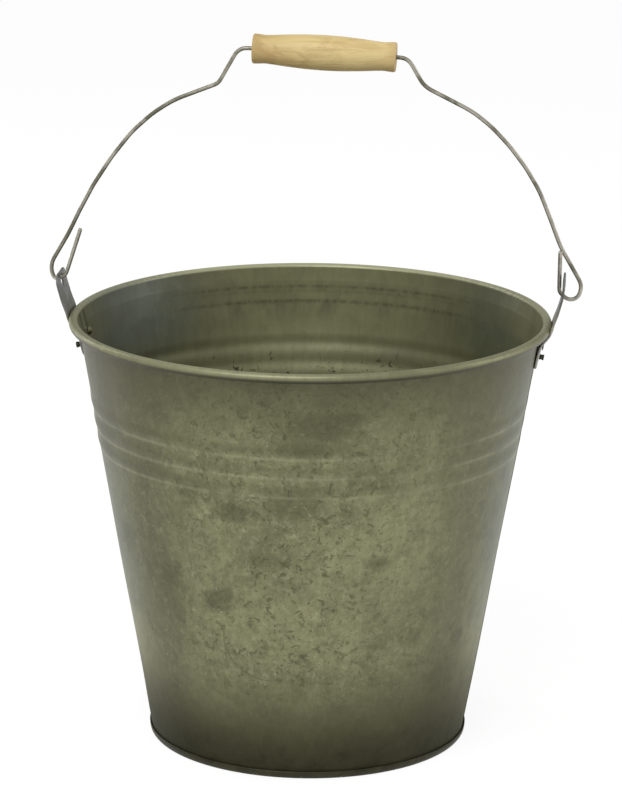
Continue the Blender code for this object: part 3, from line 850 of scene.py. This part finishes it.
def inner_zinc():
    """Smoother zinc of the inside and the rolled rim, with two tide lines and small specks, a
    painted reflection on the back wall, painted shade at the sides, under the bead and at the
    laps, painted sheen high on one side and a painted highlight on the rim's top.
    """
    top, look = sizes()[0].height, sizes()[2]
    dark, soil = look.dark_patina_and_shade, look.soil
    paint = Paint("inner_zinc", look.patina_mid)
    clouds = paint.noise(11.0, 4.0, 0.5, 0.2)
    blotches = paint.noise(60.0, 5.0, 0.6, 0.4)
    streaks = paint.noise(260.0, 4.0, 0.6, 0.0, (1.0, 1.0, 0.12))
    dashes = paint.noise(330.0, 3.0, 0.6, 0.3, (1.0, 1.0, 0.5))
    runs = paint.noise(95.0, 4.0, 0.6, 0.3, (1.0, 1.0, 0.25))
    height = paint.axes()[2]

    def below(start, stop, *results):
        """Smooth step between two depths below the rim."""
        return paint.span(height, top - start, top - stop, *results)

    paint.lay(dark, paint.span(clouds, 0.35, 0.65, 0.0, 0.35))
    # Painted reflection on the back wall, with a painted highlight lower down
    paint.lay(look.pale_patina_and_reflection, "glow", 0.95)
    paint.lay(look.bare_zinc_and_highlight, "glow", below(0.034, 0.052), 0.30)
    paint.lay(look.pale_patina_and_reflection, paint.span(blotches, 0.55, 0.72, 0.0, 0.25))
    # Painted shade at the sides
    paint.lay(look.shade, "gloom", 0.66)
    # Painted bluish sheen high on one side
    paint.lay(look.film, "film", 0.72)
    paint.dim(spangles(paint, 120.0, 0.12))
    paint.dim(paint.line(streaks, 0.36, 0.82))
    paint.lay(soil, "tide", paint.span(dashes, 0.40, 0.60, 0.16, 0.50))
    paint.lay(look.shade, below(0.021, 0.025), below(0.036, 0.026),
              paint.span(runs, 0.50, 0.66, 0.0, 0.34))
    paint.lay(soil, flecks(paint, 240.0, 0.60, 0.63), below(0.048, 0.066, 0.05, 0.85))
    # Painted shade line at the lap edges
    paint.lay(soil, "edge", 0.75)
    # Painted shade lines above the ribs
    paint.lay(dark, "ledge", 0.22)
    paint.lay(soil, paint.span(height, 0.050, 0.006, 0.0, 0.75),
              paint.span(clouds, 0.34, 0.60, 1.0, 0.55))
    # Painted highlight on the rim's top, broken by streaks
    paint.lay(look.bare_zinc_and_highlight, "rubbed", paint.span(streaks, 0.30, 0.55, 0.72, 1.0))
    # Painted shade under the bead
    paint.lay(soil, "under", 0.85)
    paint.bumps(paint.line(streaks, 0.3, blotches), 0.25, 0.0005)
    return paint.finish(paint.line(blotches, 0.22, 0.32), ZINC_METALLIC)


def foot_zinc():
    """Dark zinc at the foot, in the colour of dirt and painted shade, worn a little brighter along
    the edge.
    """
    look = sizes()[2]
    paint = Paint("foot_zinc", look.soil)
    blotches = paint.noise(90.0, 5.0, 0.62, 0.6)
    wear = paint.noise(260.0, 3.0, 0.6, 0.3)
    paint.lay(look.dark_patina_and_shade, paint.span(blotches, 0.40, 0.68, 0.0, 0.35))
    paint.lay(look.pale_patina_and_reflection, paint.span(wear, 0.58, 0.70),
              paint.span(paint.axes()[2], 0.0018, 0.0004))
    paint.bumps(blotches, 0.35, 0.0005)
    return paint.finish(paint.line(blotches, 0.25, 0.42), ZINC_METALLIC)


def strap_steel(name, pale_below):
    """Weathered steel strap: grey with dull streaks and darker pits, paler below its bend."""
    top, look = sizes()[0].height, sizes()[2]
    paint = Paint(name, look.steel)
    blotches = paint.noise(120.0, 5.0, 0.6, 0.5)
    streaks = paint.noise(300.0, 4.0, 0.6, 0.0, (1.0, 1.0, 0.2))
    paint.lay(look.dark_patina_and_shade, paint.span(blotches, 0.42, 0.66, 0.0, 0.65))
    paint.lay(look.wire, paint.span(paint.axes()[2], top + 0.014, top - 0.004, 0.0, pale_below),
              paint.span(blotches, 0.30, 0.55, 0.6, 1.0))
    paint.dim(paint.line(streaks, 0.4, 0.8))
    paint.bumps(paint.math("ADD", blotches, paint.times(streaks, 0.4)), 0.3, 0.0004)
    return paint.finish(paint.line(blotches, 0.25, 0.34), 0.5)


def rivet_steel():
    """Dark oxidised rivets with a little bare steel on the high spots."""
    look = sizes()[2]
    paint = Paint("rivet_steel", look.soil)
    pits = paint.noise(700.0, 3.0, 0.6, 0.3)
    paint.lay(look.steel, paint.span(pits, 0.50, 0.68, 0.0, 0.7))
    zinc = paint.mix(paint.span(pits, 0.40, 0.62), look.dark_patina_and_shade, look.patina_mid)
    paint.lay(zinc, "inside")
    paint.bumps(pits, 0.3, 0.0002)
    return paint.finish(paint.line(pits, 0.3, 0.35), 0.6)


def wire_steel():
    """Dull drawn wire with a thin yellowish film broken along its length."""
    look = sizes()[2]
    paint = Paint("wire_steel", look.wire)
    film = paint.noise(45.0, 5.0, 0.6, 0.4)
    scuffs = paint.noise(520.0, 3.0, 0.6, 0.2)
    paint.lay(look.dark_patina_and_shade, paint.span(film, 0.40, 0.62, 0.0, 0.75))
    paint.lay(look.steel, paint.span(scuffs, 0.60, 0.74, 0.0, 0.5))
    paint.bumps(scuffs, 0.25, 0.0002)
    return paint.finish(paint.line(film, 0.25, 0.28), 0.7)


def pale_wood():
    """Bare turned wood: long grain lines along the grip, short flecks and warmer ends."""
    length, look = sizes()[1].grip_length, sizes()[2]
    dark = look.wood_dark
    paint = Paint("pale_wood", look.wood)
    tilt = (0.0, math.radians(-GRIP_TILT_DEG), 0.0)
    grain = paint.noise(330.0, 5.0, 0.62, 0.4, (0.055, 1.0, 1.0), tilt)
    figure = paint.noise(95.0, 4.0, 0.60, 1.6, (0.30, 1.0, 1.0), tilt)
    rays = paint.noise(620.0, 2.0, 0.5, 0.0, (0.16, 1.0, 1.0), tilt)
    x, y, z = paint.axes()
    along = paint.math("ABSOLUTE", paint.math("SUBTRACT", x, GRIP_CENTRE_X))
    paint.lay(dark, paint.span(figure, 0.36, 0.70, 0.10, 0.46))
    paint.lay(dark, paint.span(grain, 0.50, 0.68, 0.0, 0.50))
    paint.lay(dark, paint.span(rays, 0.60, 0.72, 0.0, 0.45))
    paint.lay(dark, paint.span(x, 0.004, -0.030), paint.span(figure, 0.40, 0.62, 0.38, 0.70))
    paint.lay(dark, wood_oval(paint, x, y, z, figure))
    paint.lay(dark, paint.span(along, length * 0.40, length * 0.50, 0.0, 0.42))
    paint.bumps(paint.math("ADD", grain, paint.times(rays, 0.4)), 0.25, 0.0003)
    return paint.finish(paint.line(grain, 0.2, 0.46), 0.0)


def wood_oval(paint, x, y, z, figure):
    """Oval rings of grain low on the front: a warped sine of the distance from their middle."""
    side = paint.line(x, 1.0 / OVAL_HALF[0], -OVAL_MIDDLE[0] / OVAL_HALF[0])
    rise = paint.line(z, 1.0 / OVAL_HALF[1], -OVAL_MIDDLE[1] / OVAL_HALF[1])
    away = paint.away(side, rise)
    warped = paint.line(figure, 1.6, away)
    rings = paint.span(paint.math("SINE", paint.times(warped, 9.0)), -0.3, 0.9)
    near = paint.times(paint.span(away, 1.5, 0.9), paint.math("LESS_THAN", y, 0.0))
    return paint.times(paint.line(rings, 0.30, 0.16), near)


# Fittings

def ear_path(top):
    """Inner face of an ear from its foot to its top as (x, z), with its bends eased."""
    body = sizes()[0]
    bottom = body.height - EAR_FOOT_BELOW_RIM
    kink = body.height - UPPER_RIVET_BELOW_RIM + EAR_KINK
    side, neck = body.rim_radius + GAP, body.height - BEAD_RADIUS
    reach, axis = body.rim_radius + EAR_PAST_RIM, body.height + AXIS_ABOVE_RIM
    corners = [
        (wall_radius(bottom) + GAP, bottom),
        (wall_radius(kink) + GAP + EAR_STAND_OFF, kink),
        (side - BEAD_RADIUS * 1.05, neck - BEAD_RADIUS * 1.7),
        (side - BEAD_RADIUS * 0.33, neck - BEAD_RADIUS * 0.8),
        (side, neck),
        (side + BEAD_RADIUS * 0.12, neck + BEAD_RADIUS * 0.7),
        (reach, axis),
        (reach + EAR_TOP_LEAN, axis + EAR_TOP_RUN),
        (reach + EAR_TOP_LEAN, top),
    ]
    return round_off(corners, 10, 6)


def strap_outline(angle, low, high, half):
    """Distance from the hole to the strap's rounded outline in each direction.

    The outline is a rectangle with rounded corners; the distance is found by halving.
    """
    near, far = np.zeros(len(angle)), np.full(len(angle), 0.2)
    for _ in range(40):
        middle = (near + far) / 2.0
        along, across = middle * np.sin(angle), middle * np.cos(angle)
        corner = np.where(along > 0.0, EAR_TOP_CORNER, EAR_FOOT_CORNER)
        over_a = np.maximum(np.maximum(along - (high - corner), (low + corner) - along), 0.0)
        over_b = np.maximum(np.abs(across) - (half - corner), 0.0)
        outside = np.hypot(over_a, over_b) > corner
        near, far = np.where(outside, near, middle), np.where(outside, middle, far)
    return near


def ear_points(side, above_hole):
    """Strap ear as rings round its hole, on both faces and rounded over at both edges.

    A ring lies between hole and outline by a share, and the flat point (along, across) is bent
    along the ear's path and moved out by a share of the strap's thickness. Up to the rim the
    strap follows the round wall: x becomes the root of x^2 - across^2.
    """
    body, fit = sizes()[:2]
    axis = body.height + AXIS_ABOVE_RIM
    path = ear_path(axis + above_hole)
    run = run_along(path)
    at_hole = np.interp(axis, path[:, 1], run)
    angle = round_angles(EAR_COLUMNS)
    outline = strap_outline(angle, -at_hole, run[-1] - at_hole, fit.ear_width / 2.0)
    shares = np.linspace(0.0, 1.0, EAR_RINGS) ** 0.9
    rings = [(share, 0.0, 0.0) for share in shares]
    rings += [(1.0, EAR_EDGE, 0.22), (1.0, EAR_EDGE, 0.78)]
    rings += [(share, 0.0, 1.0) for share in shares[::-1]]
    rings += [(0.0, -EAR_EDGE, 0.78), (0.0, -EAR_EDGE, 0.22)]
    share, push, lift = np.array(rings).T[..., None]
    reach = (EAR_HOLE_RADIUS + EAR_EDGE) * (1.0 - share) + (outline - EAR_EDGE) * share + push
    along, across = at_hole + reach * np.sin(angle), reach * np.cos(angle)
    slope = np.gradient(path, run, axis=0)
    x = np.interp(along, run, path[:, 0])
    z = np.interp(along, run, path[:, 1])
    out_x, out_z = np.interp(along, run, slope[:, 1]), -np.interp(along, run, slope[:, 0])
    x, z = x + lift * EAR_SHEET * out_x, z + lift * EAR_SHEET * out_z
    flat = ramp(z, body.height - 0.002, body.height + 0.008)
    x = x * flat + np.sqrt(x * x - across * across) * (1.0 - flat)
    return np.stack((side * x, side * across, z), axis=-1)


def rivet_matrix(side, height, aside):
    """Place of a rivet: on the wall's outer face, its Z axis square to the wall."""
    slope = math.atan(wall_slope())
    turn = Matrix.Rotation(side * aside / wall_radius(height), 3, "Z")
    centre = turn @ Vector((side * wall_radius(height), 0.0, height))
    axis = turn @ Vector((side * math.cos(slope), 0.0, -math.sin(slope)))
    tilt = Vector((0, 0, 1)).rotation_difference(axis).to_matrix().to_4x4()
    return Matrix.Translation(centre) @ tilt


def rivet_profile(height, tail):
    """Rivet outline from its inner dome to its outer end, as (radius, length)."""
    body = sizes()[0]
    slope = math.cos(math.atan(wall_slope()))
    span = EAR_FOOT_BELOW_RIM - UPPER_RIVET_BELOW_RIM + EAR_KINK
    stand = GAP + EAR_STAND_OFF * (height - body.height + EAR_FOOT_BELOW_RIM) / span
    inner = -(2.0 * body.sheet + GAP) * slope - GAP
    outer = stand * slope + EAR_SHEET + GAP
    angle = np.radians(np.linspace(84.0, 0.0, 9))
    dome = np.stack((RIVET_DOME_RADIUS * np.cos(angle),
                     inner - RIVET_DOME_HEIGHT * np.sin(angle)), axis=-1)
    if tail > 0.0:
        end = [(RIVET_TAIL_FLARE * 1.12, outer), (RIVET_RADIUS * 1.02, outer + tail * 0.12),
               (RIVET_RADIUS, outer + tail * 0.55), (RIVET_TAIL_FLARE, outer + tail * 0.85),
               (RIVET_TAIL_FLARE * 0.9, outer + tail)]
    else:
        end = [(RIVET_FLAT_RADIUS, outer), (RIVET_FLAT_RADIUS, outer + RIVET_FLAT_HEIGHT * 0.5),
               (RIVET_FLAT_RADIUS * 0.85, outer + RIVET_FLAT_HEIGHT)]
    return np.vstack((dome, [(RIVET_RADIUS, inner), (RIVET_RADIUS, outer)], end))


def bore_line(x):
    """Height above the swing axis of the straight run of wire inside the grip."""
    return GRIP_ABOVE_AXIS - math.tan(math.radians(GRIP_TILT_DEG)) * (x - GRIP_CENTRE_X)


def bail_corners():
    """Corners of the bent wire as (x, y, height above the axis, bend radius)."""
    body, fit = sizes()[:2]
    reach = body.rim_radius + EAR_PAST_RIM
    half = fit.grip_length / 2.0
    hooks = [[(side * reach + past * side, y, z, bend) for past, y, z, bend in hook]
             for side, hook in ((-1, LEFT_HOOK), (1, RIGHT_HOOK))]
    arches = [[(x * reach, 0.0, z * GRIP_ABOVE_AXIS, bend) for x, z, bend in arch]
              for arch in (LEFT_ARCH, RIGHT_ARCH)]
    exits = [(x, 0.0, bore_line(x), 0.0080)
             for x in (GRIP_CENTRE_X - half - LEFT_RUN_OUT, GRIP_CENTRE_X + half + RIGHT_RUN_OUT)]
    left, right = np.array(hooks[0] + arches[0]), np.array(arches[1] + hooks[1])
    first, last = len(LEFT_HOOK) - 2, len(RIGHT_ARCH) + 1
    return np.vstack((left[:first + 1], bowed(left[first:]), left[-1:], exits,
                      right[:1], bowed(right[:last + 1]), right[last:]))


def bowed(corners):
    """Corners of an arch doubled, without the two end ones.

    Each corner b moves to the middle of its bend, and between b and c comes one at
    (9 (b + c) - a - d) / 16, so that the arch is bowed evenly between them.
    """
    places = corners[:, :3].copy()
    for index in range(1, len(corners) - 1):
        back, ahead = (corners[other, :3] - corners[index, :3] for other in (index - 1, index + 1))
        middle = back / np.linalg.norm(back) + ahead / np.linalg.norm(ahead)
        slack = 1.0 / math.sin(angle_between(back, ahead) / 2.0) - 1.0
        places[index] += middle / np.linalg.norm(middle) * corners[index, 3] * slack
    between = (9.0 * (places[1:-2] + places[2:-1]) - places[:-3] - places[3:]) / 16.0
    both = np.empty((2 * len(between) + 1, 3))
    both[0::2], both[1::2] = places[1:-1], between
    return np.column_stack((both, np.full(len(both), 0.060)))


def angle_between(first, second):
    """Angle between two directions."""
    share = (first @ second) / (np.linalg.norm(first) * np.linalg.norm(second))
    return math.acos(float(np.clip(share, -1.0, 1.0)))


def rounded_path(corners, step_deg):
    """Line through the corners with each one replaced by an arc of its bend radius."""
    places, path = corners[:, :3], [corners[:1, :3]]
    for index in range(1, len(corners) - 1):
        back = places[index - 1] - places[index]
        ahead = places[index + 1] - places[index]
        half = angle_between(back, ahead) / 2.0
        back, ahead = back / np.linalg.norm(back), ahead / np.linalg.norm(ahead)
        turn, radius = math.pi - 2.0 * half, corners[index, 3]
        middle = (back + ahead) / np.linalg.norm(back + ahead)
        centre = places[index] + middle * (radius / math.sin(half))
        start = places[index] + back * (radius / math.tan(half)) - centre
        stop = places[index] + ahead * (radius / math.tan(half)) - centre
        count = max(2, math.ceil(math.degrees(turn) / step_deg) + 1)
        share = np.linspace(0.0, 1.0, count)[:, None]
        arc = (start * np.sin((1.0 - share) * turn) + stop * np.sin(share * turn)) / math.sin(turn)
        path.append(centre + arc)
    return np.vstack(path + [corners[-1:, :3]])


def even_path(path, spacing):
    """The same line with points at an even spacing."""
    run = run_along(path)
    marks = np.linspace(0.0, run[-1], int(run[-1] / spacing) + 1)
    return np.stack([np.interp(marks, run, path[:, axis]) for axis in range(3)], axis=-1)


def relaxed(path, passes):
    """The line after each inner point moves to (a + 2 b + c) / 4 of its neighbours, repeated."""
    path = path.copy()
    for _ in range(passes):
        path[1:-1] = (path[:-2] + 2.0 * path[1:-1] + path[2:]) / 4.0
    return path


def tube_points(path, radii, sides):
    """Rings along a path: centre + radius (cos a across + sin a aside), square to the path."""
    along = np.gradient(path, axis=0)
    along /= np.linalg.norm(along, axis=1)[:, None]
    across = np.cross(along, (0.0, 1.0, 0.0))
    across /= np.linalg.norm(across, axis=1)[:, None]
    aside = np.cross(along, across)
    angle = round_angles(sides)[None, :, None]
    ring = across[:, None] * np.cos(angle) + aside[:, None] * np.sin(angle)
    return path[:, None] + ring * radii[:, None, None]


def grip_outline():
    """Turned outline from one end to the other as (radius, length), with eased shoulders."""
    fit = sizes()[1]
    half = fit.grip_length / 2.0
    rise = fit.grip_end - GRIP_EDGE
    shape = [
        (rise, -half), (fit.grip_end, -half + GRIP_EDGE),
        (fit.grip_end - 0.0001, -half + GRIP_NECK_INSET * 0.35),
        (GRIP_NECK_RADIUS + 0.0001, -half + GRIP_NECK_INSET * 0.85),
        (GRIP_NECK_RADIUS + 0.00035, -half + GRIP_NECK_INSET * 1.30),
        (fit.grip_belly - 0.00100, -half * 0.52), (fit.grip_belly - 0.00025, -half * 0.26),
        (fit.grip_belly, 0.0),
    ]
    mirror = [(radius, -length) for radius, length in reversed(shape[:-1])]
    return round_off(shape + mirror, 9, 5)


# Operators

class BUCKET_OT_walls(bpy.types.Operator):
    """Build the front and rear halves of the tapered body with ribs and rolled rim"""

    bl_idname = "bucket.walls"
    bl_label = "Walls"

    def execute(self, context):
        inner = inner_zinc()
        finishes = (outer_zinc("outer_zinc", False), inner, outer_zinc("dull_zinc", True), inner)
        finish_piece(half_body("front_sheet", -180.0, True), "bucket", "front_wall", *finishes)
        finish_piece(half_body("rear_sheet", 0.0, False), "bucket", "rear_wall", *finishes)
        return {"FINISHED"}


class BUCKET_OT_foot(bpy.types.Operator):
    """Build the bottom disc and the folded foot band, and finish the rim wire"""

    bl_idname = "bucket.foot"
    bl_label = "Foot"

    def execute(self, context):
        dark = foot_zinc()
        disc = lathe("bottom_disc", disc_profile(), DISC_COLUMNS, False)
        finish_piece(disc, "bucket", "base", bpy.data.materials["inner_zinc"])
        band = lathe("foot_ring", band_profile(), BAND_COLUMNS, True)
        finish_piece(band, "bucket", "foot_band", dark)
        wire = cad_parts["rim_wire"]
        wire.data.materials.clear()
        wire.data.materials.append(dark)
        return {"FINISHED"}


def disc_profile():
    """Bottom disc with its flange turned down, from the underside's middle to the top's middle."""
    body = sizes()[0]
    inset = body.sheet + GAP
    under = BASE_HEIGHT - body.sheet

    def flange(offset, z):
        return wall_radius(z) - inset - offset, z
    outline = [
        (0.0030, under),
        (flange(body.sheet, under)[0] - FLANGE_FILLET, under),
        flange(body.sheet, under - FLANGE_FILLET),
        flange(body.sheet, inset),
        flange(0.0, inset),
        flange(0.0, BASE_HEIGHT - FLANGE_FILLET),
        (flange(0.0, BASE_HEIGHT)[0] - FLANGE_FILLET, BASE_HEIGHT),
        (0.0030, BASE_HEIGHT),
    ]
    return round_off(outline, 8, 2)[::-1]


def band_profile():
    """Folded band round the wall and the base flange, as a closed loop of (radius, height)."""
    body = sizes()[0]
    out, inside = GAP + body.sheet, 2.0 * (body.sheet + GAP)
    outline = [
        (out, BAND_HEIGHT), (out + BAND_BULGE, BAND_HEIGHT * 0.62),
        (out + BAND_BULGE * 0.5, BAND_HEIGHT * 0.30), (out * 0.9, body.sheet * 1.1),
        (out * 0.5, body.sheet * 0.25), (0.0, 0.0), (-inside, 0.0),
        (-inside - body.sheet, body.sheet * 0.8), (-inside - body.sheet, BAND_INNER_HEIGHT),
        (-inside, BAND_INNER_HEIGHT), (-inside, body.sheet), (GAP, body.sheet), (GAP, BAND_HEIGHT),
    ]
    return np.array([(wall_radius(z) + offset, z) for offset, z in outline])


class BUCKET_OT_ears(bpy.types.Operator):
    """Build the two strap ears"""

    bl_idname = "bucket.ears"
    bl_label = "Ears"

    def execute(self, context):
        # The right ear's strap is paler below its bend than the left one's
        for label, side, above, pale_below in (("left", -1, LEFT_EAR_ABOVE_HOLE, 0.2),
                                          ("right", 1, RIGHT_EAR_ABOVE_HOLE, 0.7)):
            strap = surface(f"{label}_strap", ear_points(side, above), True, True)
            finish_piece(strap, "bucket", f"{label}_ear",
                         strap_steel(f"{label}_strap_steel", pale_below))
        return {"FINISHED"}


class BUCKET_OT_rivets(bpy.types.Operator):
    """Build the four rivets: a flat upper one and a long-tailed lower one on each ear"""

    bl_idname = "bucket.rivets"
    bl_label = "Rivets"

    def execute(self, context):
        steel = rivet_steel()
        height = sizes()[0].height
        rows = (
            ("left_upper", -1, UPPER_RIVET_BELOW_RIM, UPPER_RIVET_ASIDE, 0.0),
            ("left_lower", -1, LEFT_RIVET_BELOW_RIM, 0.0, LEFT_RIVET_TAIL),
            ("right_upper", 1, UPPER_RIVET_BELOW_RIM, UPPER_RIVET_ASIDE, 0.0),
            ("right_lower", 1, RIGHT_RIVET_BELOW_RIM, 0.0, RIGHT_RIVET_TAIL),
        )
        for label, side, below, aside, tail in rows:
            profile = rivet_profile(height - below, tail)
            rivet = lathe(f"{label}_stud", profile, RIVET_COLUMNS, False, True)
            inside = np.repeat(profile[:, 1] < 0.0, RIVET_COLUMNS).astype(float)
            tag(rivet, "inside", np.concatenate((inside, (1.0, 0.0))))
            rivet.data.transform(rivet_matrix(side, height - below, aside))
            finish_piece(rivet, "bucket", f"{label}_rivet", steel)
        return {"FINISHED"}


class BUCKET_OT_bail(bpy.types.Operator):
    """Build the bent wire bail with its open hooks"""

    bl_idname = "bucket.bail"
    bl_label = "Bail"

    def execute(self, context):
        body, fit = sizes()[:2]
        path = rounded_path(bail_corners(), WIRE_BEND_DEG)
        path = relaxed(even_path(path, WIRE_STEP), 5)
        path[:, 2] += body.height + AXIS_ABOVE_RIM
        radii = np.full(len(path), fit.wire_radius)
        radii[[0, -1]] *= 0.80
        bail = surface("wire_bail", tube_points(path, radii, WIRE_COLUMNS), False, True, True)
        finish_piece(bail, "bail", "bail", wire_steel())
        return {"FINISHED"}


class BUCKET_OT_grip(bpy.types.Operator):
    """Build the turned wooden grip"""

    bl_idname = "bucket.grip"
    bl_label = "Grip"

    def execute(self, context):
        body, fit = sizes()[:2]
        half, bore = fit.grip_length / 2.0, fit.wire_radius + BORE_CLEARANCE
        flared = bore + GRIP_EDGE * 0.4
        loop = np.vstack((grip_outline(), [(flared, half), (bore, half - GRIP_EDGE),
                                           (bore, -half + GRIP_EDGE), (flared, -half)]))
        grip = lathe("turned_grip", loop, GRIP_COLUMNS, True)
        middle = body.height + AXIS_ABOVE_RIM + GRIP_ABOVE_AXIS
        turn = Matrix.Rotation(math.radians(90.0 + GRIP_TILT_DEG), 4, "Y")
        grip.data.transform(Matrix.Translation((GRIP_CENTRE_X, 0.0, middle)) @ turn)
        finish_piece(grip, "grip", "grip", pale_wood())
        return {"FINISHED"}


class BUCKET_OT_stage(bpy.types.Operator):
    """Set up the floor, the even light, the lamps and the camera"""

    bl_idname = "bucket.stage"
    bl_label = "Stage"

    def execute(self, context):
        stage = sizes()[3]
        make_floor(stage)
        make_sky(stage)
        for name, place, power, size in LAMPS:
            lamp(name, place, getattr(stage, power), size)
        make_camera()
        context.scene.view_settings.view_transform = "Standard"
        return {"FINISHED"}


def make_floor(stage):
    """Pale floor: near white to the camera and in gloss, plain grey to the rest of the light."""
    half = stage.floor_size / 2.0
    mesh = bpy.data.meshes.new("floor")
    corners = [(-half, -half, 0), (half, -half, 0), (half, half, 0), (-half, half, 0)]
    mesh.from_pydata(corners, [], [(0, 1, 2, 3)])
    floor = show("floor", mesh)
    material = bpy.data.materials.new("pale_floor")
    material.use_nodes = True
    tree = material.node_tree
    tree.nodes.clear()
    rays, seen, plain, white, glow, bright, choose, out = (
        tree.nodes.new(f"ShaderNode{kind}")
        for kind in ("LightPath", "Math", "BsdfDiffuse", "BsdfDiffuse", "Emission", "MixShader",
                     "MixShader", "OutputMaterial"))
    seen.operation = "MAXIMUM"
    plain.inputs[0].default_value = FLOOR_GREY
    white.inputs[0].default_value = FLOOR_WHITE
    bright.inputs[0].default_value = FLOOR_GLOW_SHARE
    glow.inputs["Strength"].default_value = stage.backdrop
    for start, stop in (
            (rays.outputs["Is Camera Ray"], seen.inputs[0]),
            (rays.outputs["Is Glossy Ray"], seen.inputs[1]),
            (white.outputs[0], bright.inputs[1]), (glow.outputs[0], bright.inputs[2]),
            (seen.outputs[0], choose.inputs[0]), (plain.outputs[0], choose.inputs[1]),
            (bright.outputs[0], choose.inputs[2]), (choose.outputs[0], out.inputs[0])):
        tree.links.new(start, stop)
    mesh.materials.append(material)


def make_sky(stage):
    """Even light from all round, plain white where the camera itself sees it."""
    world = bpy.data.worlds.new("even_light")
    world.use_nodes = True
    bpy.context.scene.world = world
    tree = world.node_tree
    rays = tree.nodes.new("ShaderNodeLightPath")
    level = tree.nodes.new("ShaderNodeMapRange")
    level.inputs["To Min"].default_value = stage.sky
    level.inputs["To Max"].default_value = 1.0
    tree.links.new(rays.outputs["Is Camera Ray"], level.inputs["Value"])
    tree.links.new(level.outputs["Result"], tree.nodes["Background"].inputs["Strength"])
    tree.nodes["Background"].inputs["Color"].default_value = (1.0, 1.0, 1.0, 1.0)


def lamp(name, place, power, size):
    """Soft rectangular lamp aimed at the middle of the bucket."""
    data = bpy.data.lights.new(name, "AREA")
    data.shape = "RECTANGLE"
    data.size, data.size_y = size
    data.energy = power
    obj = show(name, data)
    obj.location = place
    aim = Vector(LAMP_AIM) - Vector(place)
    obj.rotation_euler = aim.to_track_quat("-Z", "Y").to_euler()


def make_camera():
    """Camera with the photograph's direction, distance, roll and lens."""
    azimuth, lift, roll = (math.radians(angle) for angle in (
        CAMERA_AZIMUTH_DEG, CAMERA_ELEVATION_DEG, CAMERA_ROLL_DEG))
    right = Vector((math.cos(azimuth), math.sin(azimuth), 0.0))
    back = Vector((math.sin(azimuth) * math.cos(lift), -math.cos(azimuth) * math.cos(lift),
                   math.sin(lift)))
    up = back.cross(right)
    side = right * math.cos(roll) + up * math.sin(roll)
    top = up * math.cos(roll) - right * math.sin(roll)
    aim = right * CAMERA_AIM_ASIDE + Vector((0.0, 0.0, CAMERA_AIM_HEIGHT))
    place = aim + back * CAMERA_DISTANCE
    data = bpy.data.cameras.new("camera")
    data.sensor_width = 36.0
    data.lens = CAMERA_LENS_HEIGHTS * data.sensor_width
    data.clip_start, data.clip_end = 0.05, 60.0
    camera = show("camera", data)
    camera.matrix_world = Matrix((
        (side.x, top.x, back.x, place.x), (side.y, top.y, back.y, place.y),
        (side.z, top.z, back.z, place.z), (0.0, 0.0, 0.0, 1.0)))
    bpy.context.scene.camera = camera


class BUCKET_PT_panel(bpy.types.Panel):
    """Lists the bucket's pieces, sizes and finishes."""

    bl_idname = "BUCKET_PT_panel"
    bl_label = "Bucket"
    bl_space_type = "VIEW_3D"
    bl_region_type = "UI"
    bl_category = "Bucket"

    def draw(self, context):
        for operator in OPERATORS:
            self.layout.operator(operator.bl_idname)
        for name in SETTINGS:
            group = getattr(context.scene, name)
            box = self.layout.box()
            for key in group.bl_rna.properties.keys():
                if key not in {"rna_type", "name"}:
                    box.prop(group, key)


OPERATORS = (BUCKET_OT_walls, BUCKET_OT_foot, BUCKET_OT_ears, BUCKET_OT_rivets, BUCKET_OT_bail,
             BUCKET_OT_grip, BUCKET_OT_stage)
SETTINGS = {"bucket_body": BodySizes, "bucket_fittings": FittingSizes,
            "bucket_finishes": Finishes, "bucket_stage": StageSizes}
CLASSES = (*SETTINGS.values(), *OPERATORS, BUCKET_PT_panel)


def register():
    """Register the classes and the scene's settings."""
    for item in CLASSES:
        bpy.utils.register_class(item)
    for name, group in SETTINGS.items():
        setattr(bpy.types.Scene, name, bpy.props.PointerProperty(type=group))


def unregister():
    """Take the settings and the classes away again."""
    for name in SETTINGS:
        delattr(bpy.types.Scene, name)
    for item in reversed(CLASSES):
        bpy.utils.unregister_class(item)


def main():
    """Build every piece."""
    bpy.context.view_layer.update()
    register()
    for operator in OPERATORS:
        group, action = operator.bl_idname.split(".")
        getattr(getattr(bpy.ops, group), action)()


if __name__ == "__main__":
    main()
